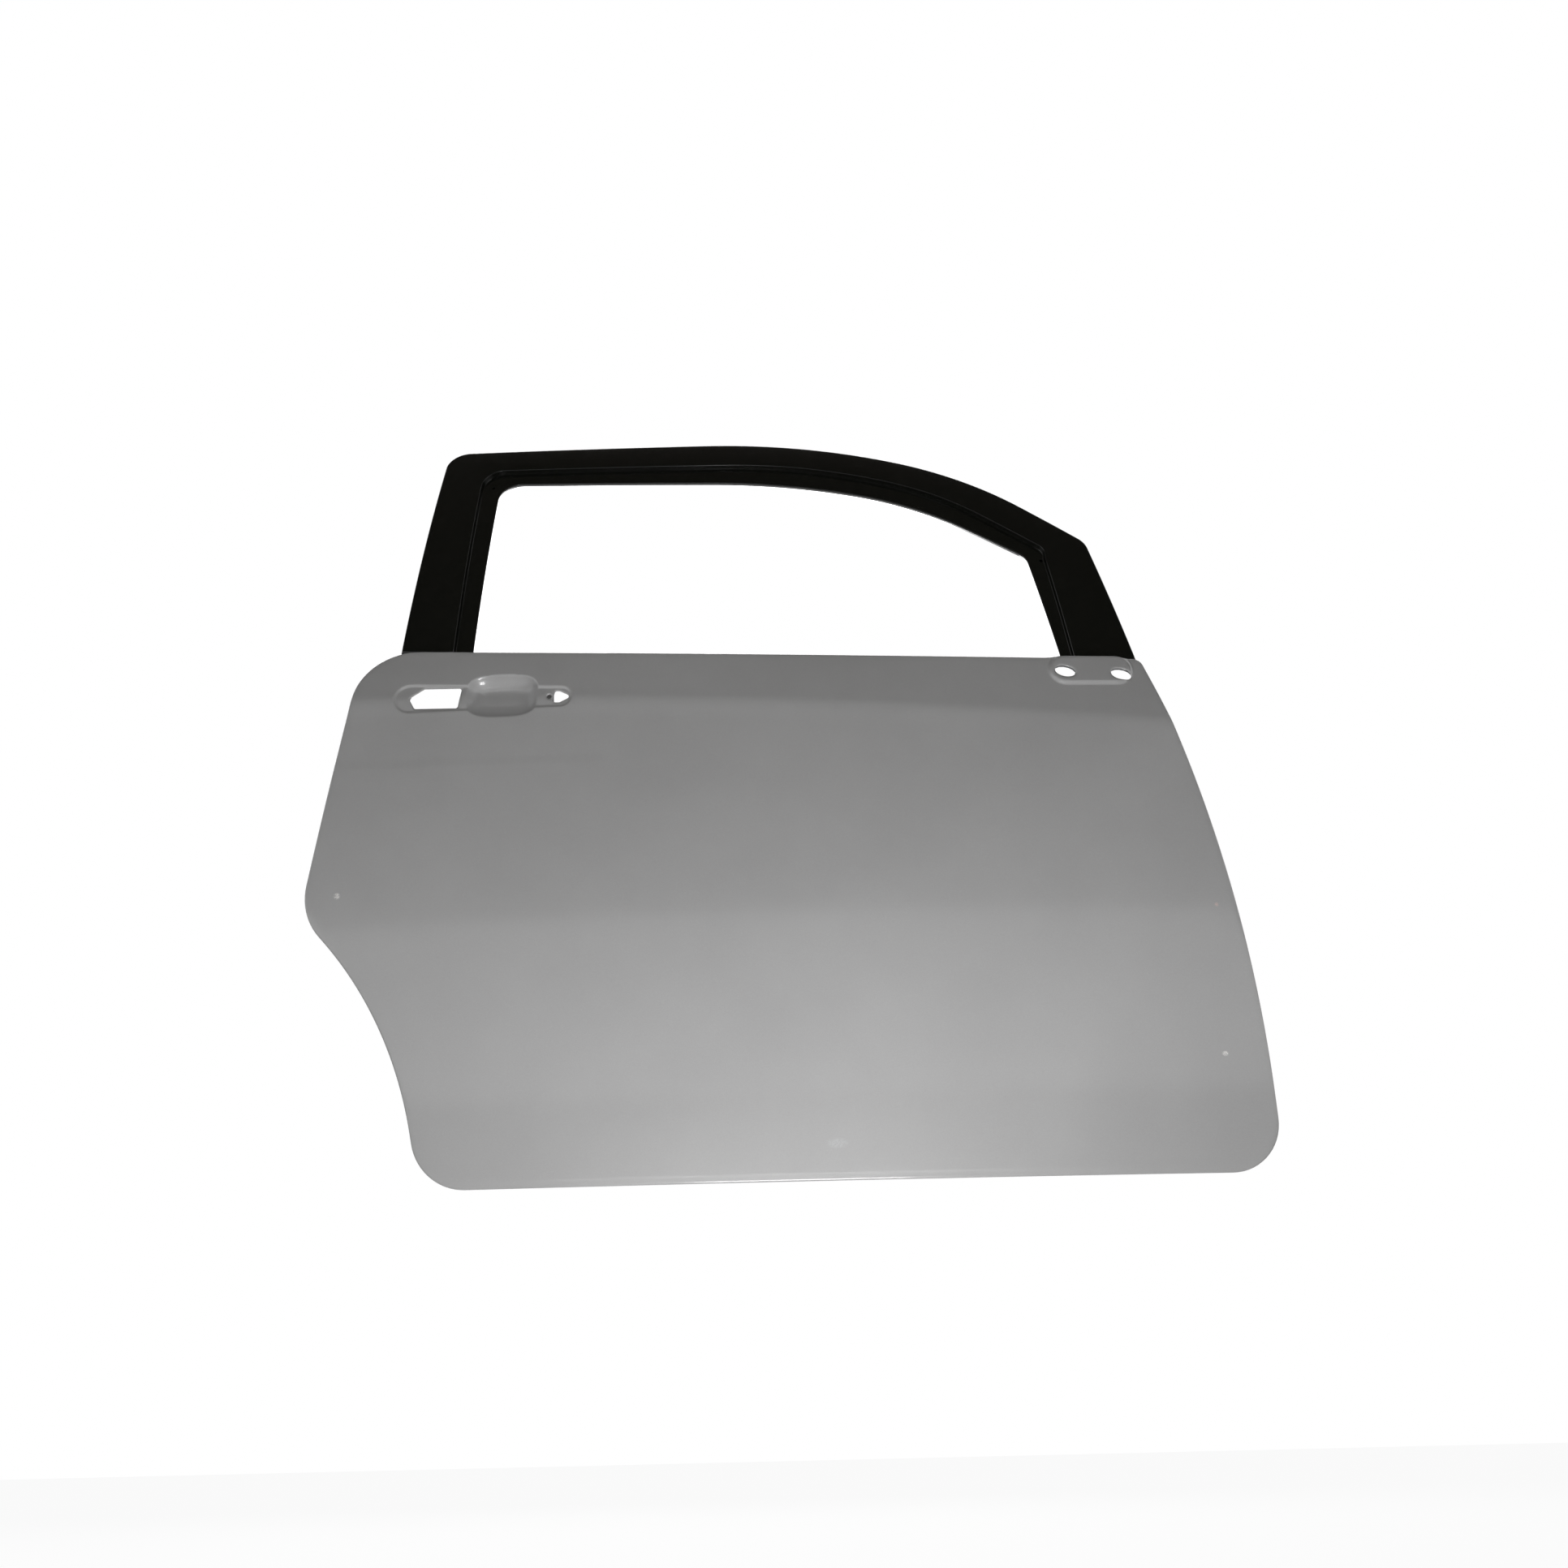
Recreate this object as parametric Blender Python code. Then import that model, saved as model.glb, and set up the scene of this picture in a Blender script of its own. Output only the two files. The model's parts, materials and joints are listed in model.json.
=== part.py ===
# Right-hand front door shell of a small three-door car: pressed steel, bare, with its window frame.
# X runs forward, Y inboard and Z up. Sizes are in metres. Outlines are drawn with X measured from the
# rearmost point of the panel, Z from its bottom edge and Y from its widest line, and the finished
# door is then moved so that its origin is the face that the upper hinge bolts to.

import math

import bmesh
import bpy
import numpy as np
from mathutils import Matrix, Vector
from mathutils.geometry import delaunay_2d_cdt

# Overall sizes
PANEL_LENGTH = 1.109
PANEL_HEIGHT = 0.6565
DOOR_HEIGHT = 1.0065

# Sheet and clearances
SKIN_SHEET = 0.0008
PAN_SHEET = 0.0008
FRAME_SHEET = 0.001
RAIL_SHEET = 0.001
PLATE_SHEET = 0.002
GAP = 0.0003
OVERRUN = 0.004

# Corner radii of the panel outline
BELT_REAR_RADIUS = 0.073
ARCH_TIP_RADIUS = 0.075
WHEEL_ARCH_RADIUS = 0.45
BOTTOM_REAR_RADIUS = 0.062
BOTTOM_FRONT_RADIUS = 0.055
FRONT_EDGE_RADIUS = 2.05
BELT_FRONT_RADIUS = 0.012
BELT_RADIUS = 25.0

# Corners of the panel outline: share of the length, share of the height, radius, facets of the round,
# facets of the straight run that follows it. They go from the rear of the belt down and round.
OUTLINE_SHARES = (
    (0.0483, 1.0, BELT_REAR_RADIUS, 8, 6),
    (0.0, 0.4806, ARCH_TIP_RADIUS, 5, 1),
    (0.1029, 0.2833, WHEEL_ARCH_RADIUS, 7, 1),
    (0.1325, 0.0, BOTTOM_REAR_RADIUS, 6, 18),
    (1.0, 0.0, BOTTOM_FRONT_RADIUS, 6, 1),
    (0.9807, 0.5286, FRONT_EDGE_RADIUS, 13, 1),
    (0.9012, 0.9452, BELT_FRONT_RADIUS, 3, 1),
    (0.4731, 0.9637, BELT_RADIUS, 20, 5),
)
BELT_REAR, BELT_FRONT, BELT_MID = 0, 6, 7

# Crown of the outer skin
WIDEST_HEIGHT_SHARE = 0.4573
PLAN_CENTRE_SHARE = 0.507
LOWER_CROWN_RADIUS = 1.9
UPPER_CROWN_RADIUS = 2.7
PLAN_CROWN_RADIUS = 9.1
CREASE_SHARES = (0.8946, 0.8826, 0.7980)
SHOULDER_SLOPE_SHARE = 0.17
CREASE_ROUND = 0.006

# Folded hem round the skin
HEM_DEPTH = 2 * SKIN_SHEET + PAN_SHEET + 3 * GAP
HEM_RETURN = 0.011
HEM_ROUND_SHARE = 0.35
PAN_EDGE_INSET = 0.0022

# Handle recess, finger cup and holes. The seat is a tapered slot, and places are taken from its rear end.
HANDLE_REAR = 0.1143
HANDLE_HEIGHT_SHARE = 0.8903
SEAT_REAR_RADIUS = 0.021
SEAT_FRONT_RADIUS = 0.0155
SEAT_LENGTH = 0.182
SEAT_FALL = 0.0043
SEAT_DEPTH = 0.0025
SEAT_WALL = 0.004
CUP_FORWARD = 0.1115
CUP_HALF_LENGTH = 0.0447
CUP_HALF_HEIGHT = 0.0293
CUP_DEPTH = 0.018
CUP_WALL = 0.021
LATCH_HOLE_HALF_HEIGHT = 0.0137
LATCH_HOLE_TIP = 0.0015
LATCH_HOLE_REAR = 0.0165
LATCH_HOLE_LOWER_REAR = 0.0060
LATCH_HOLE_FRONT = 0.0620
LATCH_HOLE_LOWER_FRONT = 0.0582
LOCK_HOLE_FORWARD = 0.1755
LOCK_HOLE_LENGTH = 0.0225
LOCK_HOLE_HALF_HEIGHT = 0.0078
SCREW_HOLE_FORWARD = 0.1685
SCREW_HOLE_RADIUS = 0.003

# Mirror pad and its two holes
MIRROR_PAD_SHARES = (0.8177, 0.9213)
MIRROR_PAD_LENGTH = 0.0605
MIRROR_PAD_RADIUS = 0.0225
MIRROR_PAD_RISE = 0.0035
MIRROR_PAD_WALL = 0.0045
MIRROR_PAD_LIFT = 0.0032
MIRROR_HOLE_HALF_LENGTH = 0.0125
MIRROR_HOLE_HALF_HEIGHT = 0.0075
MIRROR_HOLE_TILT = math.radians(-14)
MIRROR_HOLE_SPACING = 0.0678
MIRROR_HOLE_BACK = 0.0013
MIRROR_HOLE_DROP = 0.0033
MIRROR_HOLE_FALL = 0.0045

# Window frame: outer outline and opening, as shares of the length and of the rise above the panel, with
# their radii and facets, and where the rebate's step lies between the opening and the outer edge.
FRAME_SHARES = (
    ((0.0858, -0.0146), (0.1650, -0.0263), 0.0, 0.0, 0, 7, 0.26),
    ((0.1086, 0.9919), (0.1756, 0.8188), 0.031, 0.030, 6, 4, 0.33),
    ((0.5359, 1.0), (0.5147, 0.7855), 0.78, 0.82, 6, 1, 0.44),
    ((0.7280, 0.7996), (0.6655, 0.6624), 0.49, 0.43, 5, 2, 0.42),
    ((0.8621, 0.4438), (0.7921, 0.3846), 0.018, 0.018, 4, 5, 0.32),
    ((0.8993, -0.1112), (0.8180, -0.1034), 0.0, 0.0, 0, 0, 0.16),
)
FRAME_SETBACK = 0.006
FRAME_DEPTH = 0.042
LEAN_AT_BELT_SHARE = 0.25
GLASS_RADIUS = 1.3
REBATE_DEPTH = 0.009
FRAME_ROUND = 0.0018
OUTER_RETURN = 0.013
INNER_LIP = 0.016
INNER_SLOPE = 0.011
OPENING_SLOPE = 0.013
WELD_LAP = 0.009
LAP_FLANGE = 0.023
CORNER_HOLE_RADIUS = 0.002
CORNER_HOLE_SHARES = ((0.1668, 0.7987), (0.8090, 0.3645))

# Inner panel
WALL_INSET = 0.0125
WALL_DRAFT = 0.0025
FOOT_BEND = WALL_INSET - HEM_RETURN - GAP
LAND_WIDTH = 0.012
STEP_DRAFT = 0.007
BEND = 0.0025
LAND_DEPTH = 0.105
MAIN_DEPTH = 0.130
LAND_TOP_STEP = 0.006
SLOPE_START_SHARE = 0.64
PAN_TOP_AT_LEG = 0.014
PAN_TOP = 0.002
PAN_TOP_STRIP = 0.0013
LEG_ENDS = (0.19, 0.80)
PAN_TAPER_REAR = 0.0026
PAN_TAPER_FRONT = 0.0052
PAN_TAPER_REACH = 0.07

# Flat pads of the shut faces: drop below the belt or height above the bottom edge, and length up the edge
PAD_HALF = 0.034
PAD_JOGGLE = 0.010
UPPER_HINGE_DROP = 0.1595
LOWER_HINGE_HEIGHT = 0.182
CHECK_HEIGHT = 0.335
LATCH_DROP = 0.1865
HINGE_BOLT_RADIUS = 0.0055
HINGE_BOLT_SPACING = 0.040
CHECK_SLOT_LENGTH = 0.030
CHECK_SLOT_WIDTH = 0.012
LATCH_SLOT_HEIGHT = 0.044
LATCH_SLOT_DEPTH = 0.026
LATCH_SCREW_RADIUS = 0.0035
LATCH_SCREW_SPACING = 0.058
SHUT_FACE_DEPTH = 0.060

# Openings and beads of the inner panel's main face, as shares of length and height
SERVICE_HOLE_SHARES = ((0.20, 0.25), (0.58, 0.205), (0.66, 0.36), (0.64, 0.70), (0.19, 0.72))
SERVICE_HOLE_RADIUS = 0.045
SPEAKER_SHARES = (0.80, 0.300)
SPEAKER_RADIUS = 0.072
SPEAKER_RING = 0.014
SPEAKER_RISE = 0.005
HAND_HOLE_SHARES = ((0.745, 0.56), (0.865, 0.56), (0.855, 0.70), (0.745, 0.71))
HAND_HOLE_RADIUS = 0.018
BEAD_SHARES = ((0.20, 0.825), (0.83, 0.790))
BEAD_RADIUS = 0.012
BEAD_RISE = 0.005
HANDLE_ACCESS_SHARES = ((0.0870, 0.899), (0.1505, 0.899), (0.1505, 0.954), (0.0870, 0.954))
LOCK_ACCESS_SHARES = ((0.2525, 0.898), (0.2840, 0.898), (0.2840, 0.941), (0.2525, 0.941))
ACCESS_RADIUS = 0.006
MIRROR_ACCESS_RADIUS = 0.0135
MIRROR_ACCESS_FORWARD = (0.0078, 0.0088)
MIRROR_ACCESS_RISE = 0.0210
NOTCH_SHARE = 0.910
NOTCH_WIDTH = 0.016
NOTCH_DEPTH = 0.0055

# Belt reinforcements
OUTER_RAIL_HEIGHT = 0.030
OUTER_RAIL_DEPTH = 0.011
OUTER_RAIL_ENDS = (0.182, 0.795)
INNER_RAIL_HEIGHT = 0.025
INNER_RAIL_DEPTH = 0.011
INNER_RAIL_ENDS = (0.24, 0.815)
RAIL_FLANGE = 0.0055
RAIL_DRAFT = 0.003
RAIL_PIECES = 16

# Glass guides below the belt
REAR_GUIDE_SHARE = 0.176
FRONT_GUIDE_SHARE = 0.820
GUIDE_WIDTH = 0.012
GUIDE_DEPTH = 0.013
GUIDE_TOP = 0.100
GUIDE_BOTTOM = 0.235
GUIDE_SETBACK = 0.0075
GUIDE_BRACKET_WIDTH = 0.022
GUIDE_BRACKET_DROP = 0.150
GUIDE_FOOT = 0.018

# Side-impact beam
BEAM_RADIUS = 0.0135
BEAM_WALL = 0.002
BEAM_FACETS = 12
BEAM_PIECES = 8
BEAM_STANDOFF = 0.0065
BEAM_REAR_SHARES = (0.130, 0.400)
BEAM_FRONT_SHARES = (0.905, 0.455)
BEAM_BRACKET_HEIGHT = 0.060
BEAM_BRACKET_LAP = 0.055
BEAM_BRACKET_REACH = 0.006
BEAM_BRACKET_FLANGE = 0.016
FLUTTER_PAD_LENGTH = 0.045
FLUTTER_PAD_HALF_HEIGHT = 0.009
FLUTTER_PAD_SHARES = (0.25, 0.5, 0.75)

# Reinforcement plates and weld nuts
HINGE_PLATE_WIDTH = 0.048
HINGE_PLATE_HEIGHT = 0.062
CHECK_PLATE_WIDTH = 0.046
CHECK_PLATE_HEIGHT = 0.048
LATCH_PLATE_WIDTH = 0.042
LATCH_PLATE_HEIGHT = 0.060
PLATE_RADIUS = 0.006
NUT_RADIUS = 0.0085
NUT_HEIGHT = 0.0065
NUT_BORE = 0.004
SKIN_PLATE_SHEET = 0.0012
HANDLE_PLATE_MARGIN = 0.0055
HANDLE_PLATE_CLEARANCE = 0.0012
MIRROR_PLATE_LENGTH = 0.094
MIRROR_PLATE_HEIGHT = 0.0345
MIRROR_PLATE_DROP = 0.0042
MIRROR_PLATE_RADIUS = 0.0105
MIRROR_PLATE_HOLE_SHARE = 1.06

GRID_STEP = 0.062
MAIN_GRID_STEP = 0.065

SKIN_PAINT = ("panel_grey", (0.36, 0.36, 0.37, 1.0), 0.38, 0.25)
PAN_PAINT = ("panel_grey_inside", (0.33, 0.33, 0.34, 1.0), 0.48, 0.15)
FRAME_PAINT = ("frame_black", (0.006, 0.0065, 0.006, 1.0), 0.18, 0.0)
PRIMER = ("primer_grey", (0.20, 0.205, 0.21, 1.0), 0.55, 0.10)
STEEL = ("zinc_steel", (0.45, 0.46, 0.47, 1.0), 0.40, 0.90)
MASTIC = ("mastic_black", (0.02, 0.02, 0.02, 1.0), 0.85, 0.0)


def material(finish):
    name, colour, roughness, metallic = finish
    paint = bpy.data.materials.get(name)
    if paint is None:
        paint = bpy.data.materials.new(name)
        paint.use_nodes = True
        shader = paint.node_tree.nodes["Principled BSDF"]
        shader.inputs["Base Color"].default_value = colour
        shader.inputs["Roughness"].default_value = roughness
        shader.inputs["Metallic"].default_value = metallic
    return paint


# Flat geometry of outlines

def unit(vector):
    return vector / np.linalg.norm(vector)


def corner_round(before, corner, after, radius, facets):
    """Points of the arc that rounds one corner, from one edge to the next."""
    back = unit(before - corner)
    ahead = unit(after - corner)
    half = math.acos(max(-1.0, min(1.0, float(back @ ahead)))) / 2
    longest = min(np.linalg.norm(before - corner), np.linalg.norm(after - corner))
    radius = min(max(radius, GAP), longest * math.tan(half))
    centre = corner + unit(back + ahead) * radius / math.sin(half)
    start = corner + back * radius / math.tan(half) - centre
    end = corner + ahead * radius / math.tan(half) - centre
    first = math.atan2(start[1], start[0])
    turn = (math.atan2(end[1], end[0]) - first + math.pi) % (2 * math.pi) - math.pi
    shares = np.linspace(0.0, 1.0, facets + 1)
    angles = [first + turn * share for share in shares]
    return [centre + radius * np.array((math.cos(a), math.sin(a))) for a in angles]


def straight(start, end, pieces):
    """Points between two ends, without the ends."""
    return [start + (end - start) * step / pieces for step in range(1, pieces)]


def heading(start, end):
    return math.atan2(end[1] - start[1], end[0] - start[0])


def left_normal(angle):
    return np.array((-math.sin(angle), math.cos(angle)))


def rounded_path(corners, facets, runs, closed):
    """Points round an outline with rounded corners, each with the normal on its left."""
    count = len(corners)
    arcs = []
    for index, (point, radius) in enumerate(corners):
        if not closed and index in (0, count - 1):
            start, end = corners[:2] if index == 0 else corners[-2:]
            arcs.append([(point, left_normal(heading(start[0], end[0])))])
            continue
        before = corners[index - 1][0]
        after = corners[(index + 1) % count][0]
        first = heading(before, point)
        turn = (heading(point, after) - first + math.pi) % (2 * math.pi) - math.pi
        arc = corner_round(before, point, after, radius, facets[index])
        arcs.append([(p, left_normal(first + turn * step / facets[index])) for step, p in enumerate(arc)])
    path = []
    for index, arc in enumerate(arcs):
        path += arc
        if closed or index + 1 < count:
            following = arcs[(index + 1) % count][0][0]
            path += [(p, arc[-1][1]) for p in straight(arc[-1][0], following, runs[index])]
    return path


def rounded_loop(corners, facets, runs):
    return [point for point, _ in rounded_path(corners, facets, runs, True)]


def shares_loop(shares, radius, facets=4):
    """Rounded polygon whose corners are shares of the panel's length and height."""
    corners = [(np.array((PANEL_LENGTH * x, PANEL_HEIGHT * z)), radius) for x, z in shares]
    return rounded_loop(corners, [facets] * len(corners), [1] * len(corners))


def circle(centre, radius, facets=12):
    angles = [2 * math.pi * index / facets for index in range(facets)]
    return [centre + radius * np.array((math.cos(a), math.sin(a))) for a in angles]


def ellipse(centre, half_length, half_height, tilt, facets=14):
    along = np.array((math.cos(tilt), math.sin(tilt)))
    up = left_normal(tilt)
    angles = [2 * math.pi * index / facets for index in range(facets)]
    return [centre + half_length * math.cos(a) * along + half_height * math.sin(a) * up for a in angles]


def tapered_slot(rear, front, rear_radius, front_radius, facets=5):
    """Outline of two round ends joined by their common tangents."""
    along = unit(front - rear)
    lean = math.asin((rear_radius - front_radius) / np.linalg.norm(front - rear))
    ahead = math.atan2(along[1], along[0])
    loop = []
    for centre, radius, middle, half in (
        (front, front_radius, ahead, math.pi / 2 - lean),
        (rear, rear_radius, ahead + math.pi, math.pi / 2 + lean),
    ):
        for share in np.linspace(-1.0, 1.0, 2 * facets + 1):
            angle = middle + half * share
            loop.append(centre + radius * np.array((math.cos(angle), math.sin(angle))))
    return loop


def oval(centre, half_length, half_height, shrink=0.0, facets=24, squareness=2.6):
    """Superellipse, shrunk inward by a distance."""
    loop = []
    for index in range(facets):
        angle = 2 * math.pi * index / facets
        cos, sin = math.cos(angle), math.sin(angle)
        x = math.copysign(abs(cos) ** (2 / squareness), cos) * (half_length - shrink)
        z = math.copysign(abs(sin) ** (2 / squareness), sin) * (half_height - shrink)
        loop.append(centre + np.array((x, z)))
    return loop


def distance_inside(loop, point):
    """Distance from a point to a closed outline, positive inside it."""
    corners = np.array(loop)
    ends = np.roll(corners, -1, axis=0)
    run = ends - corners
    share = np.clip(((point - corners) * run).sum(axis=1) / (run * run).sum(axis=1), 0, 1)
    nearest = np.linalg.norm(corners + run * share[:, None] - point, axis=1).min()
    crosses = (corners[:, 1] > point[1]) != (ends[:, 1] > point[1])
    rise = np.where(run[:, 1] == 0, 1, run[:, 1])
    level = corners[:, 0] + (point[1] - corners[:, 1]) / rise * run[:, 0]
    inside = np.count_nonzero(crosses & (point[0] < level)) % 2 == 1
    return nearest if inside else -nearest


def smooth(share):
    share = min(max(share, 0.0), 1.0)
    return share * share * (3 - 2 * share)


# The panel's outline and surfaces

PANEL_CORNERS = [(np.array((PANEL_LENGTH * row[0], PANEL_HEIGHT * row[1])), row[2]) for row in OUTLINE_SHARES]
PANEL_FACETS = [row[3] for row in OUTLINE_SHARES]
PANEL_RUNS = [row[4] for row in OUTLINE_SHARES]


def belt_points():
    """The belt edge from rear to front, with the panel's round corners left off."""
    rear = PANEL_CORNERS[BELT_REAR][0]
    front = PANEL_CORNERS[BELT_FRONT][0]
    arc = corner_round(front, PANEL_CORNERS[BELT_MID][0], rear, BELT_RADIUS, PANEL_FACETS[BELT_MID])
    return [rear] + arc[::-1] + [front]


BELT = np.array(belt_points())


def belt_height(x):
    return float(np.interp(x, BELT[:, 0], BELT[:, 1]))


def crease_height(x):
    share = x / PANEL_LENGTH
    rear, middle, front = CREASE_SHARES
    height = (1 - share) ** 2 * rear + 2 * share * (1 - share) * middle + share ** 2 * front
    return PANEL_HEIGHT * height


def crown(x, z):
    """Depth inboard of the plain outer skin, before handle and mirror forms."""
    widest = PANEL_HEIGHT * WIDEST_HEIGHT_SHARE
    radius = LOWER_CROWN_RADIUS if z < widest else UPPER_CROWN_RADIUS
    across = x - PANEL_LENGTH * PLAN_CENTRE_SHARE
    depth = (z - widest) ** 2 / (2 * radius) + across ** 2 / (2 * PLAN_CROWN_RADIUS)
    above = z - crease_height(x)
    if above > CREASE_ROUND:
        depth += SHOULDER_SLOPE_SHARE * above
    elif above > -CREASE_ROUND:
        depth += SHOULDER_SLOPE_SHARE * (above + CREASE_ROUND) ** 2 / (4 * CREASE_ROUND)
    return depth


def with_levels(stations, low, high, axis, levels):
    """Adds stations between the indices low and high where the outline crosses the given levels."""
    result = list(stations)
    for level in levels:
        for index in range(len(result) - 1):
            (start, first), (end, last) = result[index], result[index + 1]
            if not (low[0] <= start[0] <= high[0] and low[1] <= start[1] <= high[1]):
                continue
            before, after = start[axis] - level, end[axis] - level
            if min(abs(before), abs(after)) > GAP and before * after < 0:
                share = before / (before - after)
                place = start + (end - start) * share
                result.insert(index + 1, (place, unit(first + (last - first) * share)))
                break
    return result


def shut_levels(height):
    """Heights of a flat pad's ends and of the joggles beyond them."""
    return [height + side * reach for side in (-1, 1) for reach in (PAD_HALF, PAD_HALF + PAD_JOGGLE)]


FRONT_HALF = ((PANEL_LENGTH * 0.85, 0.0), (PANEL_LENGTH, PANEL_HEIGHT * 0.9))
REAR_HALF = ((0.0, PANEL_HEIGHT * 0.5), (PANEL_LENGTH * 0.06, PANEL_HEIGHT))
UPPER_HINGE_HEIGHT = PANEL_HEIGHT - UPPER_HINGE_DROP
LATCH_HEIGHT = PANEL_HEIGHT - LATCH_DROP
BOTTOM_HALF = ((0.0, -GAP), (PANEL_LENGTH, GAP))
SLOPE_START = PANEL_HEIGHT * SLOPE_START_SHARE
BELT_HALF = ((PANEL_LENGTH * 0.7, PANEL_HEIGHT * 0.93), (PANEL_LENGTH, PANEL_HEIGHT))
NOTCH = PANEL_LENGTH * NOTCH_SHARE
FRONT_CREASE = crease_height(PANEL_LENGTH * 0.933)
REAR_CREASE = crease_height(PANEL_LENGTH * 0.041)
FRONT_LEVELS = [FRONT_CREASE - CREASE_ROUND, FRONT_CREASE + CREASE_ROUND]
FRONT_LEVELS += shut_levels(UPPER_HINGE_HEIGHT) + shut_levels(LOWER_HINGE_HEIGHT)
REAR_LEVELS = [REAR_CREASE - CREASE_ROUND, REAR_CREASE + CREASE_ROUND] + shut_levels(LATCH_HEIGHT)
NOTCH_LEVELS = [NOTCH - NOTCH_WIDTH / 2, NOTCH, NOTCH + NOTCH_WIDTH / 2]
MIRROR_PAD_REAR = PANEL_LENGTH * MIRROR_PAD_SHARES[0]
BELT_LEVELS = [MIRROR_PAD_REAR - MIRROR_PAD_RADIUS * share for share in (0.0, 0.7, 1.0)]
BELT_LEVELS += [MIRROR_PAD_REAR + MIRROR_PAD_LENGTH + MIRROR_PAD_RADIUS * share for share in (0.0, 0.7)]
STATIONS = rounded_path(PANEL_CORNERS, PANEL_FACETS, PANEL_RUNS, True)
STATIONS = with_levels(STATIONS, FRONT_HALF[0], FRONT_HALF[1], 1, FRONT_LEVELS)
STATIONS = with_levels(STATIONS, BELT_HALF[0], BELT_HALF[1], 0, BELT_LEVELS)
STATIONS = with_levels(STATIONS, REAR_HALF[0], REAR_HALF[1], 1, REAR_LEVELS)
STATIONS = with_levels(STATIONS, BOTTOM_HALF[0], BOTTOM_HALF[1], 0, NOTCH_LEVELS)


def panel_loop(inset):
    return [point + inward * inset for point, inward in STATIONS]


SEAT_REAR = np.array((HANDLE_REAR, PANEL_HEIGHT * HANDLE_HEIGHT_SHARE))
SEAT_FRONT = SEAT_REAR + np.array((SEAT_LENGTH, -SEAT_FALL))
SEAT_FALL_SHARE = SEAT_FALL / SEAT_LENGTH
CUP_CENTRE = SEAT_REAR + np.array((CUP_FORWARD, 0.0))
SEAT_RIM = tapered_slot(SEAT_REAR, SEAT_FRONT, SEAT_REAR_RADIUS, SEAT_FRONT_RADIUS)
SEAT_FLOOR = tapered_slot(SEAT_REAR, SEAT_FRONT, SEAT_REAR_RADIUS - SEAT_WALL, SEAT_FRONT_RADIUS - SEAT_WALL)
CUP_RIM = oval(CUP_CENTRE, CUP_HALF_LENGTH, CUP_HALF_HEIGHT)
PAD_REAR = np.array((MIRROR_PAD_REAR, PANEL_HEIGHT * MIRROR_PAD_SHARES[1]))
PAD_FRONT = PAD_REAR + np.array((MIRROR_PAD_LENGTH, 0.0))
PAD_RIM = tapered_slot(PAD_REAR, PAD_FRONT, MIRROR_PAD_RADIUS, MIRROR_PAD_RADIUS)
PAD_TOP_RADIUS = MIRROR_PAD_RADIUS - MIRROR_PAD_WALL
PAD_TOP = tapered_slot(PAD_REAR, PAD_FRONT, PAD_TOP_RADIUS, PAD_TOP_RADIUS)


def seat_point(forward, up):
    """A place on the handle seat, forward of its rear end and above its centre line."""
    return SEAT_REAR + np.array((forward, up - SEAT_FALL_SHARE * forward))


LATCH_HOLE = [
    seat_point(-LATCH_HOLE_TIP, 0.0),
    seat_point(LATCH_HOLE_LOWER_REAR, -LATCH_HOLE_HALF_HEIGHT),
    seat_point(LATCH_HOLE_LOWER_FRONT, -LATCH_HOLE_HALF_HEIGHT),
    seat_point(LATCH_HOLE_FRONT, LATCH_HOLE_HALF_HEIGHT),
    seat_point(LATCH_HOLE_REAR, LATCH_HOLE_HALF_HEIGHT),
]
LOCK_HOLE = [
    seat_point(LOCK_HOLE_FORWARD, LOCK_HOLE_HALF_HEIGHT),
    seat_point(LOCK_HOLE_FORWARD - LOCK_HOLE_LENGTH / 8, -LOCK_HOLE_HALF_HEIGHT),
    seat_point(LOCK_HOLE_FORWARD + LOCK_HOLE_LENGTH / 4, -LOCK_HOLE_HALF_HEIGHT),
    seat_point(LOCK_HOLE_FORWARD + LOCK_HOLE_LENGTH * 7 / 8, 0.0),
    seat_point(LOCK_HOLE_FORWARD + LOCK_HOLE_LENGTH / 4, LOCK_HOLE_HALF_HEIGHT),
]
SCREW_HOLE = circle(seat_point(SCREW_HOLE_FORWARD, 0.0), SCREW_HOLE_RADIUS, 8)
MIRROR_HOLES = [
    ellipse(PAD_REAR + np.array(offset), MIRROR_HOLE_HALF_LENGTH, MIRROR_HOLE_HALF_HEIGHT, MIRROR_HOLE_TILT)
    for offset in (
        (-MIRROR_HOLE_BACK, -MIRROR_HOLE_DROP),
        (MIRROR_HOLE_SPACING - MIRROR_HOLE_BACK, -MIRROR_HOLE_DROP - MIRROR_HOLE_FALL),
    )
]


def skin_depth(x, z):
    """Depth inboard of the pressed outer skin, with the handle seat, the cup and the mirror pad."""
    point = np.array((x, z))
    seat = SEAT_DEPTH * smooth(distance_inside(SEAT_RIM, point) / SEAT_WALL)
    share = min(max(distance_inside(CUP_RIM, point) / CUP_WALL, 0.0), 1.0)
    cup = CUP_DEPTH * (1 - (1 - share) ** 2)
    pad = MIRROR_PAD_RISE * smooth(distance_inside(PAD_RIM, point) / MIRROR_PAD_WALL)
    return crown(x, z) + max(seat, cup) - pad


def belt_lift(x, z):
    """The belt edge rises a little where the mirror pad meets it."""
    middle = PAD_REAR[0] + MIRROR_PAD_LENGTH / 2
    reach = MIRROR_PAD_LENGTH / 2 + MIRROR_PAD_RADIUS
    across = smooth((reach - abs(x - middle)) / MIRROR_PAD_RADIUS)
    up = smooth(1 + (z - belt_height(x)) / MIRROR_PAD_RADIUS)
    return MIRROR_PAD_LIFT * across * up


def frame_depth(x, z):
    """Depth inboard of the window frame's outer face, which leans and curves with the glass."""
    belt = belt_height(x)
    rise = max(z - belt, 0.0)
    return crown(x, belt) + FRAME_SETBACK + LEAN_AT_BELT_SHARE * rise + rise * rise / (2 * GLASS_RADIUS)


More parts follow.
